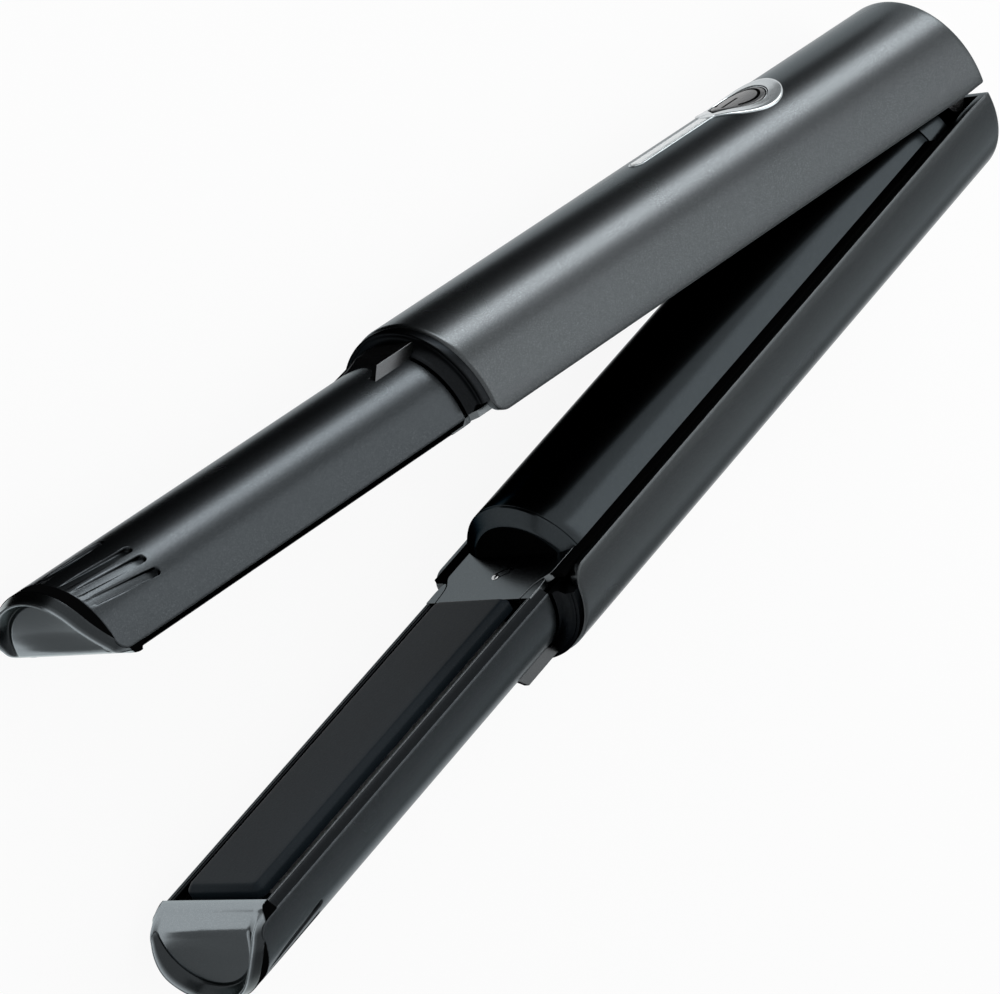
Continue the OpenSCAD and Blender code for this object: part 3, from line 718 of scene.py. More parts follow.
def shell_loops(x: np.ndarray, inset: np.ndarray, edge: np.ndarray, radii: tuple[float, float],
                fillet: float, share: np.ndarray) -> np.ndarray:
    """Closed C sections of a half round shell with rounded parting edges.

    Outer arch, foot rounding, inner arch back, foot rounding; every line moves in by the inset.

    Args:
        x: stations.
        inset: inset of each station.
        edge: parting edge height of each station.
        radii: outside and inside radius.
        fillet: rounding of the parting edges.
        share: places of the points along each arch.
    Returns:
        Array (stations, 2 * points + 4 * FOOT_STEPS, 3).
    """
    low = edge + inset + fillet
    out = arch_line(radii[0] - inset, low, share)
    back = arch_line(radii[1] + inset, low, share)[:, ::-1]
    a = quarter(FOOT_STEPS + 1)[1:]
    foot = np.stack([np.cos(a) - 1.0, -np.sin(a)], axis=-1) * fillet
    mirrored = foot[::-1] * (-1.0, 1.0)
    parts = [out, out[:, -1:] + foot, back[:, :1] + mirrored, back,
             back[:, -1:] + foot, out[:, :1] + mirrored]
    return with_x(x, np.concatenate(parts, axis=1))


# ---- casing pieces ----


@dataclass
class Piece:
    """What every sub-assembly needs: its arm and the finishes."""

    place: ArmPlace
    finishes: Finishes

    def mesh(self, name: str) -> SurfaceMesh:
        """Starts a mesh that is named after its arm."""
        return SurfaceMesh(self.place.own(name))

    def settle(self, mesh: SurfaceMesh, slot: str, node: str = "", body: str = "", bevel: float = 0.0,
               sharp: float = 30.0) -> None:
        """Builds a mesh, rounds its edges, dresses it, rides it and puts it in its node's place.

        Args:
            mesh: the collected surface.
            slot: the material slot.
            node: CAD node that the piece stands for, if any.
            body: body to ride on, or empty for the arm.
            bevel: rounding of the sharp edges in millimetres.
            sharp: edges that turn more than this, in degrees, count as sharp.
        """
        piece = mesh.build(self.place, sharp)
        if bevel:
            rounding = piece.modifiers.new("rounded_edges", "BEVEL")
            rounding.width = bevel * MM
            rounding.segments = 2
            rounding.limit_method = "ANGLE"
            rounding.angle_limit = math.radians(sharp)
            rounding.harden_normals = True
        self.finishes.dress(piece, slot, body or self.place.own("arm"), node)
        LOG.info("%s: %d faces", piece.name, len(piece.data.polygons))


@dataclass
class HandleShell(Piece):
    """Half round handle casing with a rear wall; the upper one has a pocket under the power key."""

    radius: float = 18.8
    inner: float = 16.8
    rear: float = -4.5
    wall: float = 1.6
    end: float = 149.6
    corner: float = 3.5
    fillet: float = 0.28
    front_fillet: float = 0.8
    rear_fillet: float = 0.7
    columns: int = 150
    fine_run: tuple[float, float] = (34.0, 53.0)
    wall_points: tuple[int, int] = (89, 23)
    socket_height: float = 9.5
    socket_radius: float = 4.02
    closed_radius: float = 0.01
    key_x: float = 43.6
    pocket_reach: float = 7.3
    pocket_depth: float = 1.45

    def edge_at(self, x: np.ndarray) -> np.ndarray:
        """Parting edge: rounded up at the front, turned away by 0.0563 per millimetre behind x = 1.6."""
        turned = 0.0563 * np.maximum(1.6 - x, 0.0)
        return rounded_corner(x, self.end, self.place.edge, self.corner) + turned

    def casing(self, mesh: SurfaceMesh) -> None:
        """The long C shell. Under the key the outer arch sinks by an eased step of its distance."""
        rear, front = self.rear + self.wall, self.end - self.corner
        inner = np.concatenate([np.linspace(rear, 30.0, 12), np.arange(*self.fine_run, 0.4),
                                np.linspace(54.0, front, 30)[:-1], corner_stations(self.end, self.corner, 9)])
        x, inset = end_rounding(rear, self.end, (self.fillet, self.front_fillet), inner)
        inset[x < 0.0] = 0.0
        loops = shell_loops(x, inset, self.edge_at(x), (self.radius, self.inner), self.fillet,
                            evenly(self.columns))
        if self.place.side is Side.UPPER:
            top = loops[:, :self.columns]
            away = np.hypot(top[..., 0] - self.key_x, top[..., 1])
            sink = self.pocket_depth * (1.0 - smooth_step(away, self.pocket_reach - 0.5, self.pocket_reach))
            draw_in(top, np.where(top[..., 2] > RISE, sink, 0.0) / self.radius)
        mesh.shell(loops, self.columns)

    def rear_wall(self, mesh: SurfaceMesh) -> None:
        """The rear wall: D loops with a rounded rear edge, joined to a round hole for the socket.

        The hole has one point on the ray from its centre to each point of the D. The upper arm's wall
        is closed.
        """
        a = quarter(6)
        x = np.append(self.rear + self.rear_fillet * (1.0 - np.cos(a)), self.rear + self.wall)
        inset = np.append(self.rear_fillet * (1.0 - np.sin(a)), 0.0)
        low = self.edge_at(x) + inset
        over, under = self.wall_points
        arch = arch_line(self.radius - inset, low + 0.2, evenly(over))
        across = arch[:, -1:, 0] * np.linspace(0.99, -0.99, under)
        floor = np.stack([across, low[:, None] + 0.0 * across], axis=-1)
        loops = with_x(x, np.concatenate([arch, floor], axis=1))
        middle = (0.0, self.socket_height)
        rays = loops[..., 1:] - middle
        has_socket = self.place.side is Side.LOWER
        size = self.socket_radius if has_socket else self.closed_radius
        ring = with_x(x, rays / np.linalg.norm(rays, axis=-1, keepdims=True) * size + middle)
        index = mesh.grid(np.concatenate([ring[-1:], loops[::-1], ring[:1]], axis=0), wrap_columns=True)
        if has_socket:
            mesh.strip(np.append(index[-1], index[-1][0]), np.append(index[0], index[0][0]))
        else:
            mesh.cap(index[0], index[-1])

    def make(self) -> None:
        """Builds the shell as one piece."""
        mesh = self.mesh("handle_casing")
        self.casing(mesh)
        self.rear_wall(mesh)
        self.settle(mesh, "handle", self.place.own("handle_shell"), sharp=40.0)


@dataclass
class Collar(Piece):
    """Black flange and sleeve that close the handle's front end round the barrel."""

    foot: float = 3.2
    profile: Profile = (
        (149.0, 14.0), (149.0, 17.9), (149.5, 18.3), (150.9, 18.4), (151.2, 18.3), (151.33, 18.05),
        (151.36, 17.8), (151.3, 17.72), (151.3, 17.6), (151.37, 17.5), (151.42, 17.1), (151.6, 16.6),
        (151.9, 16.15), (152.3, 15.8), (152.8, 15.55), (153.2, 15.42), (153.4, 15.25), (153.4, 14.6),
        (154.3, 14.6), (154.3, 14.0))

    def make(self) -> None:
        """Sweeps the (x, r) profile over the arch; the flange stops higher than the sleeve."""
        x, radius = np.array(self.profile).T
        low = self.foot + (self.place.edge + 0.2) * smooth_step(radius, 15.5, 16.6)
        mesh = self.mesh("collar_ring")
        mesh.sweep(with_x(x, arch_line(radius, low, evenly(120))))
        self.settle(mesh, "trim", self.place.own("collar"))


@dataclass
class FingerRest(Piece):
    """Block on the crest: a plateau, a near wall, and a dished ramp that runs down to the barrel."""

    start: float = 151.4
    end: float = 163.8
    top: float = 17.9
    half: float = 6.2
    foot: float = 14.6
    plateau_end: float = 157.3
    ramp_end: float = 163.6
    ramp_drop: float = 1.75
    wall_end: float = 161.9
    wall_drop: float = 2.7
    wall_share: tuple[float, float] = (0.72, 0.8)
    far_start: float = 153.5
    far_drop: float = 0.8
    far_slope: float = 0.19
    far_share: tuple[float, float] = (0.5, 0.97)

    def make(self) -> None:
        """Sections across the block, each a smooth mix of three lines along x.

        The middle is flat to the plateau's end and then falls by the ramp's drop times
        (1 - (1 - t) squared). The near wall stays level to its end and drops steeply. The far side starts
        below the top and sinks evenly. The shares say how far out one line hands over to the next.
        """
        x = np.concatenate([np.linspace(self.start, self.plateau_end - 0.4, 10),
                            np.arange(self.plateau_end - 0.2, self.end, 0.15), [self.end]])[:, None]
        u = evenly(71)
        t = np.clip((x - self.plateau_end) / (self.ramp_end - self.plateau_end), 0.0, 1.0)
        middle = self.top - 0.1 - self.ramp_drop * (1.0 - (1.0 - t) ** 2)
        near = self.top - self.wall_drop * np.clip((x - self.wall_end) / (self.end - self.wall_end), 0.0, 1.0)
        far = self.top - self.far_drop - self.far_slope * np.clip(x - self.far_start, 0.0, None)
        z = middle + (near - middle) * smooth_step(u, *self.wall_share)
        z = z + (np.minimum(far, z) - z) * smooth_step(-u, *self.far_share)
        top = np.stack([u * self.half + 0.0 * z, np.maximum(z, self.foot + 0.05)], axis=-1)
        ends = np.broadcast_to([[-self.half, self.foot], [self.half, self.foot]], (len(x), 2, 2))
        mesh = self.mesh("finger_block")
        mesh.loft(with_x(x, np.concatenate([ends[:, :1], top, ends[:, 1:]], axis=1)))
        self.settle(mesh, "rest", self.place.own("finger_rest"), bevel=0.1, sharp=36.0)


@dataclass
class Barrel(Piece):
    """Slim half round barrel with seven grip grooves near the tip."""

    radius: float = 15.0
    inner: float = 13.5
    start: float = 153.9
    end: float = 250.0
    edge: float = 2.6
    corner: float = 3.0
    fillet: float = 0.25
    groove_start: float = 233.5
    groove_angles: tuple[float, ...] = (-52.7, -38.9, -26.1, 0.0, 26.1, 38.9, 52.7)
    groove_side: tuple[float, ...] = (0.0, 0.35, 0.62, 0.7, 0.78, 0.86, 0.94, 1.02, 1.1)
    groove_depth: float = 0.72
    groove_rise: float = 0.042
    closing: float = 0.145

    @property
    def limit(self) -> float:
        """Angle of the straight part's feet from the crest, in degrees."""
        return math.degrees(math.acos((self.edge + self.fillet - RISE) / self.radius))

    def columns(self, x: np.ndarray) -> np.ndarray:
        """Angles of the arch's points in degrees, for each station.

        Points stand close together over each groove's sides; over the grooves every angle shrinks
        forward by the closing share, so that the rows of points run along them.

        Args:
            x: stations.
        Returns:
            Array (stations, points).
        """
        side = np.degrees(np.array(self.groove_side) / self.radius)
        across = np.unique(np.concatenate([side, -side]))
        grooves = np.array(self.groove_angles)
        even = np.linspace(-self.limit, self.limit, 121)
        away = np.abs(even[:, None] - grooves).min(axis=1)
        base = np.sort(np.concatenate([even[away > side[-1] + 0.7], (grooves[:, None] + across).ravel()]))
        narrowing = self.closing * np.clip((x - self.groove_start) / (self.end - self.groove_start), 0.0, 1.0)
        return base * (1.0 - narrowing[:, None] * (1.0 - smooth_step(np.abs(base), 57.0, 83.0)))

    def grooves(self, x: np.ndarray, angle: np.ndarray) -> tuple[np.ndarray, np.ndarray]:
        """Depth of the grooves and the painted shade on their sides and rear ends.

        A groove is 2 wide with a round rear end. Its floor lies deep behind and rises evenly with the
        distance forward; its sides rise in an eased step of 0.3.

        Args:
            x: stations along the barrel.
            angle: angle from the crest in degrees.
        Returns:
            Depth in millimetres and painted shade from 0 to 1.
        """
        s = x - self.groove_start
        ahead = np.clip(s, 0.0, None)
        narrowing = 1.0 - self.closing * ahead / (self.end - self.groove_start)
        middles = np.array(self.groove_angles)[:, None, None] * narrowing
        away = np.hypot(np.radians(angle - middles) * self.radius, np.minimum(s, 0.0)).min(axis=0)
        inside = smooth_step(1.0 - away, 0.0, 0.3)
        floor = np.clip(self.groove_depth - self.groove_rise * ahead, 0.0, None)
        # Painted shade: dark on the groove sides where they are deep, and in the round rear end.
        walls = 4.0 * inside * (1.0 - inside) * np.clip(floor / 0.2, 0.0, 1.0)
        return inside * floor, np.clip(walls + inside * (1.0 - smooth_step(s, 0.4, 2.2)), 0.0, 1.0)

    def make(self) -> None:
        """Builds the C shell and sinks the grooves into its outer arch."""
        inner = np.concatenate([np.linspace(self.start, 231.5, 24), np.arange(232.2, 235.4, 0.12),
                                np.arange(235.6, self.end - 0.4, 0.5),
                                corner_stations(self.end, self.corner, 8)])
        inner = np.unique(np.round(inner, 2))
        x, inset = end_rounding(self.start, self.end, (self.fillet, self.fillet), inner)
        edge = rounded_corner(x, self.end, self.edge, self.corner)
        share = self.columns(x) / self.limit
        loops = shell_loops(x, inset, edge, (self.radius, self.inner), self.fillet, share)
        count = share.shape[1]
        top = loops[:, :count]
        depth, dark = self.grooves(top[..., 0], np.degrees(np.arctan2(top[..., 1], top[..., 2] - RISE)))
        draw_in(top, depth / self.radius)
        # The grooves' painted shade, on the arch's points only.
        painted_shade = np.zeros(loops.shape[:2])
        painted_shade[:, :count] = dark
        mesh = self.mesh("barrel_casing")
        mesh.shell(loops, count, painted_shade)
        self.settle(mesh, "barrel", self.place.own("barrel_shell"), sharp=50.0)


@dataclass
class PlateFrame(Piece):
    """Black rails beside the hot plate, a cross bar in front of it and an apron behind it."""

    start: float = 154.0
    end: float = 244.2
    rail: Profile = (
        (14.86, 2.72), (13.74, 1.42), (13.5, 1.26), (13.0, 1.22), (12.66, 1.34), (12.5, 1.6),
        (12.5, 3.3), (10.2, 3.3), (10.2, 4.5), (12.55, 4.5), (12.7, 3.0), (14.7, 3.0))
    bead: Profile = ((12.9, 1.3), (12.95, 1.13), (13.1, 1.08), (13.3, 1.08), (13.45, 1.13), (13.5, 1.3))
    half: float = 12.4
    bar: tuple[float, float, float] = (242.4, 244.1, 3.3)
    apron: tuple[float, float, float] = (151.2, 157.7, 2.65)
    back: float = 4.5

    def make(self) -> None:
        """Both rails are one section carried along x; bar and apron are (first, last, face) slabs."""
        mesh = self.mesh("plate_rim")
        x = np.linspace(self.start, self.end, 24)
        mesh.rails(x, np.array(self.rail))
        for first, last, face in (self.bar, self.apron):
            mesh.layers([rounded_plan(first, last, self.half, 0.6)] * 2, (face, self.back))
        self.settle(mesh, "trim", self.place.own("frame"), bevel=0.08)
        # Painted highlight: a thin strip of paler gunmetal along each rail's top stands for the rail's edge
        # highlight.
        line = self.mesh("rim_line")
        line.rails(x, np.array(self.bead))
        self.settle(line, "handle", sharp=60.0)


@dataclass
class TipCap(Piece):
    """Grey nose: a flat strip past the plate rolls into a scoop inside a chamfered rim, on a wall that painted
    shade turns black.
    """

    radius: float = 14.95
    start: float = 244.2
    face: float = 0.7
    columns: int = 160
    chamfer: float = 2.7
    barrel_end: float = 250.0
    hollow: float = 0.9
    hollow_half: float = 12.0
    channel_depth: float = 0.3
    crown_height: float = 0.12
    painted_shade_strength: float = 0.9
    wall_painted_shade: float = 0.85
    clearance: float = 0.06
    scoop_x: tuple[float, ...] = (
        244.9, 245.8, 247.0, 248.5, 250.0, 250.45, 250.95, 251.7, 252.4, 252.95, 253.3, 253.6)
    scoop_z: tuple[float, ...] = (0.7, 0.9, 1.5, 2.2, 2.95, 3.6, 5.0, 7.4, 10.0, 12.5, 14.4, 17.0)
    rim_x: tuple[float, ...] = (245.0, 245.9, 247.2, 248.7, 250.2, 252.1, 253.8, 254.8, 255.2, 255.3, 255.3)
    rim_z: tuple[float, ...] = (0.7, 0.9, 1.5, 2.2, 3.0, 5.0, 7.5, 9.8, 12.5, 15.0, 17.0)

    def chamfer_at(self, z: np.ndarray) -> np.ndarray:
        """Length of the chamfer along x, eased in from the flat strip outward."""
        return self.chamfer * smooth_step(z, 0.6, 4.0)

    def front(self, depth: np.ndarray, y: np.ndarray, z: np.ndarray) -> tuple[np.ndarray, np.ndarray]:
        """How far forward the nose reaches, and its painted shade.

        From the outline inwards: a chamfer, the rounded crest of the rim, an eased fall into a narrow
        channel, and the scoop, whose floor is hollowed across by hollow (1 - (y / hollow_half) squared).

        Args:
            depth: distance inwards from the outline.
            y: across.
            z: outward.
        Returns:
            The x of each point and its painted shade from 0 to 1.
        """
        rim = smooth_curve(z, self.rim_z, self.rim_x)
        open_part = smooth_step(z, 1.6, 4.0)
        hollow = self.hollow * np.clip(1.0 - (y / self.hollow_half) ** 2, 0.0, 1.0) * smooth_step(z, 3.0, 8.0)
        channel = smooth_step(depth, 1.5, 1.9) * (1.0 - smooth_step(depth, 2.5, 3.4)) * open_part
        floor = smooth_curve(z, self.scoop_z, self.scoop_x) - hollow - self.channel_depth * channel
        rise = np.clip(1.0 - depth / 1.15, 0.0, 1.0) * self.chamfer_at(z)
        crown = self.crown_height * np.clip((depth - 1.3) / 0.25, -1.0, 1.0) ** 2 * open_part
        inward = smooth_step(depth, 1.5, 2.6)
        # Painted shade: the chamfer and the channel behind the rim are darkened towards near-black.
        rim_shade = (1.0 - smooth_step(depth, 0.95, 1.15)) * open_part
        dark = self.painted_shade_strength * np.maximum(channel, rim_shade)
        return (rim - rise - crown) * (1.0 - inward) + floor * inward, dark

    def outline(self, radius: np.ndarray) -> np.ndarray:
        """Half round outline, its points denser at the feet, whose sides lean in below z = 2.6."""
        even = evenly(self.columns)
        arch = arch_line(radius, self.face, even * (1.35 - 0.35 * even ** 2))
        arch[..., 0] *= 1.0 - 0.075 * smooth_step(2.6 - arch[..., 1], 0.0, 1.9)
        return arch

    def make(self) -> None:
        """Front field by rings inwards from the outline, side wall back to the start, flat strip below.

        Inside the barrel the wall draws in by the clearance's share of its radius, away from the grooves.
        """
        depth = np.concatenate([
            np.linspace(0.0, 1.0, 5), np.linspace(1.05, 1.6, 9), np.linspace(1.7, 3.5, 19),
            np.linspace(3.9, self.radius - 0.001, 34)])
        section = self.outline(self.radius - depth)
        x, dark = self.front(depth[:, None], section[..., 0], section[..., 1])
        rings = np.concatenate([x[..., None], section], axis=-1)
        mesh = self.mesh("nose")
        mesh.grid(rings, painted_shade=dark)
        t = np.linspace(0.0, 1.0, 9)[:, None]
        wall = np.repeat(rings[:1], 9, axis=0)
        wall[..., 0] = x[:1] + (self.start - x[:1]) * t
        inside = smooth_step(self.barrel_end + 1.3 - wall[1:, :, 0], 0.0, 0.8)
        draw_in(wall[1:], self.clearance * inside * smooth_step(wall[1:, :, 2], 6.0, 7.5))
        # Painted shade: the side wall is darkened nearly to black for the shaded gap behind the chamfer.
        back = mesh.grid(wall, painted_shade=self.wall_painted_shade)
        edge = np.concatenate([rings[:, 0], rings[::-1, -1][1:]])
        strip = np.repeat(edge[None], 6, axis=0)
        strip[..., 0] = edge[:, 0] + (self.start - edge[:, 0]) * np.linspace(0.0, 1.0, 6)[:, None]
        lower = mesh.grid(strip)
        mesh.cap(np.concatenate([back[-1], lower[-1][::-1][1:-1]]))
        self.settle(mesh, "tip", self.place.own("tip_cap"), sharp=38.0)
        self.sleeve()

    def sleeve(self) -> None:
        """Near-black sleeve over the wall up to the foot of the chamfer, its black a painted shade of the gap
        there; it starts in front of the barrel.
        """
        outer, inner = self.outline(self.radius + np.array([0.02, -0.25]))
        foot = smooth_curve(outer[:, 1], self.rim_z, self.rim_x) - self.chamfer_at(outer[:, 1])
        first = self.start + 0.02 + (self.barrel_end - self.start - 0.05) * smooth_step(outer[:, 1], 5.0, 7.0)
        x = first + (foot - first) * np.linspace(0.0, 1.0, 8)[:, None]
        there, back = [np.concatenate([run[..., None], np.repeat(line[None], 8, axis=0)], axis=-1)
                       for run, line in ((x, outer), (x[::-1], inner))]
        mesh = self.mesh("nose_sleeve")
        mesh.sweep(np.concatenate([there, back]))
        # Painted shade: the sleeve's near-black finish stands for the shade in the gap.
        self.settle(mesh, "nest", sharp=40.0)


@dataclass
class InnerPanel(Piece):
    """Flat panel between the tube and the plate, with a notched front corner and its two shoulders."""

    face: float = 1.0
    under: float = 2.45
    half_path: Profile = (
        (146.6, 13.75), (149.4, 13.72), (150.0, 13.5), (150.5, 13.2), (151.3, 12.6), (152.2, 12.0),
        (153.2, 11.58), (154.6, 11.32), (156.2, 11.15), (157.2, 11.05), (157.4, 10.9))
    shoulder: Profile = ((157.3, 12.45), (157.3, 13.7), (154.0, 13.75), (152.0, 13.6), (151.4, 13.3))
    arc_centre: float = 127.0
    rear_corner: float = 134.5
    upper_rear_corner: float = 142.6

    def plan(self) -> np.ndarray:
        """Closed plan: straight sides, an S curve at each front corner, an arc round the tube behind.

        The upper panel's arc lies further forward, because the tube's nose closes into the space
        behind it.
        """
        side = np.array(self.half_path)
        wide = side[0, 1]
        corner = self.rear_corner if self.place.side is Side.LOWER else self.upper_rear_corner
        y = np.linspace(wide, -wide, 33)
        x = self.arc_centre + np.sqrt((corner - self.arc_centre) ** 2 + wide ** 2 - y ** 2)
        return np.concatenate([np.column_stack([x, y]), side * (1.0, -1.0), side[::-1]])

    def make(self) -> None:
        """The panel, and a shoulder on each side that follows its S curve at a small gap."""
        panel = self.mesh("panel_plate")
        panel.layers([self.plan()] * 2, (self.face, self.under))
        self.settle(panel, "panel", self.place.own("inner_panel"), bevel=0.1)
        shoulders = self.mesh("panel_shoulders")
        plan = np.array(self.half_path[4:-1]) + (0.12, 0.24)
        plan = np.concatenate([plan, np.array(self.shoulder)])
        for sign in (-1.0, 1.0):
            shoulders.layers([plan * (1.0, sign)] * 2, (self.face + 0.05, self.under))
        self.settle(shoulders, "panel", bevel=0.12)


@dataclass
class PanelScrew(Piece):
    """Stud in a slanted slot of the inner panel."""

    centre: tuple[float, float] = (149.25, 0.35)
    slant: float = -54.5
    length: float = 4.3
    half: float = 1.0
    slot: Profile = ((0.0, 1.6), (0.0, 0.99), (-0.05, 0.94), (-0.2, 0.94), (-0.28, 0.99), (-0.3, 1.3))
    stud: tuple[float, float] = (150.3, -0.55)
    stud_radius: float = 0.85

    def make(self) -> None:
        """A dished slot of half round ends, by (growth, height) steps, and a stud with a flat dome."""
        a = np.linspace(0.0, np.pi, 13)
        run = self.length / 2 - self.half
        end = np.column_stack([run + np.sin(a), np.cos(a)])
        ends = np.concatenate([end, -end])
        cos, sin = math.cos(math.radians(self.slant)), math.sin(math.radians(self.slant))
        turn = np.array([[cos, sin], [-sin, cos]])
        plans = [(ends * ((run + self.half + grow) / (run + 1.0), self.half + grow)) @ turn + self.centre
                 for grow, _ in self.slot]
        slot = self.mesh("stud_slot")
        slot.layers(plans, [height for _, height in self.slot])
        self.settle(slot, "nest", sharp=35.0)
        b, turns = quarter(9), full_turn(32)
        rings = [np.column_stack([np.cos(turns), np.sin(turns)]) * radius + self.stud
                 for radius in np.append(self.stud_radius * np.sin(b + 0.01), self.stud_radius)]
        stud = self.mesh("panel_stud")
        stud.layers(rings, np.append(1.1 - 0.55 * np.cos(b), 2.2))
        self.settle(stud, "steel", self.place.own("panel_screw"), sharp=50.0)


@dataclass
class HotPlate(Piece):
    """Floating hot plate with rounded corners and a rolled edge."""

    start: float = 158.0
    end: float = 242.0
    half: float = 9.75
    corner: float = 1.5
    rolled: Profile = (
        (0.0, 2.4), (0.0, 1.0), (0.06, 0.75), (0.2, 0.55), (0.75, -0.08), (0.95, -0.24), (1.15, -0.33),
        (1.4, -0.35), (2.2, -0.35))

    def make(self) -> None:
        """Rounded plans drawn in step by step along the rolled (inset, height) edge."""
        plans = [rounded_plan(self.start + inset, self.end - inset, self.half - inset,
                              max(self.corner - 0.5 * inset, 0.5), 9) for inset, _ in self.rolled]
        mesh = self.mesh("ceramic_plate")
        mesh.layers(plans, [height for _, height in self.rolled])
        self.settle(mesh, "plate", self.place.own("plate"), self.place.own("plate_body"), sharp=60.0)


# ---- tube and hinge ----


TUBE_CIRCLES = ((15.2, 6.2), (16.5, RISE))  # radius and height of each centre
TUBE_MIDDLE = 4.0  # height of the point that the rays start from


def tube_section(insets: Sequence[float]) -> np.ndarray:
    """Closed sections of the battery tube, drawn in by each inset.

    A section is the overlap of two circles: on each ray from the middle the point is the nearer of both.

    Args:
        insets: amount both circles shrink, for each station.
    Returns:
        Array (stations, 121, 2).
    """
    inset = np.array(insets)[:, None]
    t = np.linspace(-np.pi, np.pi, 121, endpoint=False)
    unit = np.column_stack([np.sin(t), np.cos(t)])
    reach = []
    for radius, centre in TUBE_CIRCLES:
        shift = TUBE_MIDDLE - centre
        along = shift * unit[:, 1]
        reach.append(np.sqrt((radius - inset) ** 2 - shift ** 2 + along ** 2) - along)
    return np.minimum(*reach)[..., None] * unit + (0.0, TUBE_MIDDLE)


def tube_mesh(name: str, x: Sequence[float], insets: Sequence[float]) -> SurfaceMesh:
    """A mesh of tube sections, one at every x with its inset."""
    mesh = SurfaceMesh(name)
    mesh.loft(with_x(x, tube_section(insets)))
    return mesh


@dataclass
class BatteryTube(Piece):
    """Round battery housing with a rolled nose and a black end disc, seated on a gasket."""

    start: float = 12.42
    end: float = 141.3
    nose: Profile = (
        (141.36, 0.18), (141.45, 0.05), (141.6, 0.0), (141.9, 0.15), (142.9, 1.7), (143.3, 2.4),
        (143.5, 2.75), (143.6, 3.2), (143.6, 3.9), (143.35, 4.3))
    disc: Profile = ((143.2, 3.35), (143.66, 3.35), (143.7, 3.42), (143.7, 9.0))
    gasket: Profile = ((13.9, 0.95), (16.95, 0.95), (16.95, 1.9), (14.2, 1.9))

    def make(self) -> None:
        """Tube with rounded ends; nose and disc follow (x, inset) profiles; the gasket is two rails."""
        start, end = self.start, self.end
        x = [start, start + 0.05, start + 0.15, *np.linspace(start + 4, end - 4, 40),
             end - 0.12, end - 0.04, end]
        tube = tube_mesh("battery_housing", x, [0.15, 0.05, *[0.0] * 42, 0.04, 0.12])
        self.settle(tube, "tube", "battery_tube", sharp=40.0)
        self.settle(tube_mesh("housing_nose", *zip(*self.nose)), "tube", "tube_nose_cap", sharp=25.0)
        self.settle(tube_mesh("nose_end_disc", *zip(*self.disc)), "nest")
        gasket = SurfaceMesh("tube_gasket")
        gasket.rails(np.linspace(13.0, 150.2, 24), np.array(self.gasket))
        self.settle(gasket, "nest", bevel=0.1)


@dataclass
class HingeDrum(Piece):
    """Knuckle and drum that carry the pin and close the battery tube's rear end."""

    rear: float = -2.6
    shoulder: float = 6.0
    front: float = 12.18
    half: float = 9.5

    def make(self) -> None:
        """Drum by full tube sections; knuckle by the same sections held within the half width."""
        rear, shoulder, front = self.rear, self.shoulder, self.front
        x = (shoulder, shoulder + 0.1, shoulder + 0.35, 9.0, front - 0.3, front - 0.08, front)
        mesh = tube_mesh("hinge_drum", x, (0.35, 0.1, 0.0, 0.0, 0.0, 0.05, 0.2))
        rounding = (0.5, 0.15, 0.0, 0.0, 0.0)
        section = tube_section(rounding)
        limit = self.half - np.array(rounding)[:, None]
        section[..., 0] = np.clip(section[..., 0], -limit, limit)
        mesh.loft(with_x((rear, rear + 0.15, rear + 0.5, 2.0, shoulder + 0.2), section))
        self.settle(mesh, "hinge_plastic", "hinge_block", sharp=34.0)


@dataclass
class TubeNest(Piece):
    """Arched liner of the upper handle that the battery tube closes into, with a flat flange."""

    start: float = 14.0
    end: float = 139.3
    arch_radius: float = 15.9
    wall: float = 1.2
    drop: float = 6.2
    flange: tuple[float, float] = (1.3, 2.5)
    wide: float = 16.4

    def arch(self, radius: float, foot: float, way: float) -> np.ndarray:
        """Arc of a radius about z = -drop from one foot to the other; way -1 runs it back."""
        a = way * math.acos((foot + self.drop) / radius) * evenly(61)
        return np.column_stack([radius * np.sin(a), radius * np.cos(a) - self.drop])

    def make(self) -> None:
        """C section: inner arch up to the flange, flange out, outer arch back, flange in."""
        low, high = self.flange
        section = np.concatenate([
            self.arch(self.arch_radius, low, 1.0), [(self.wide, low), (self.wide, high)],
            self.arch(self.arch_radius + self.wall, high, -1.0), [(-self.wide, high), (-self.wide, low)]])
        mesh = SurfaceMesh("tube_nest_liner")
        mesh.loft(carried(np.linspace(self.start, self.end, 30), section))
        self.settle(mesh, "nest", "tube_nest", bevel=0.2)


# ---- controls ----


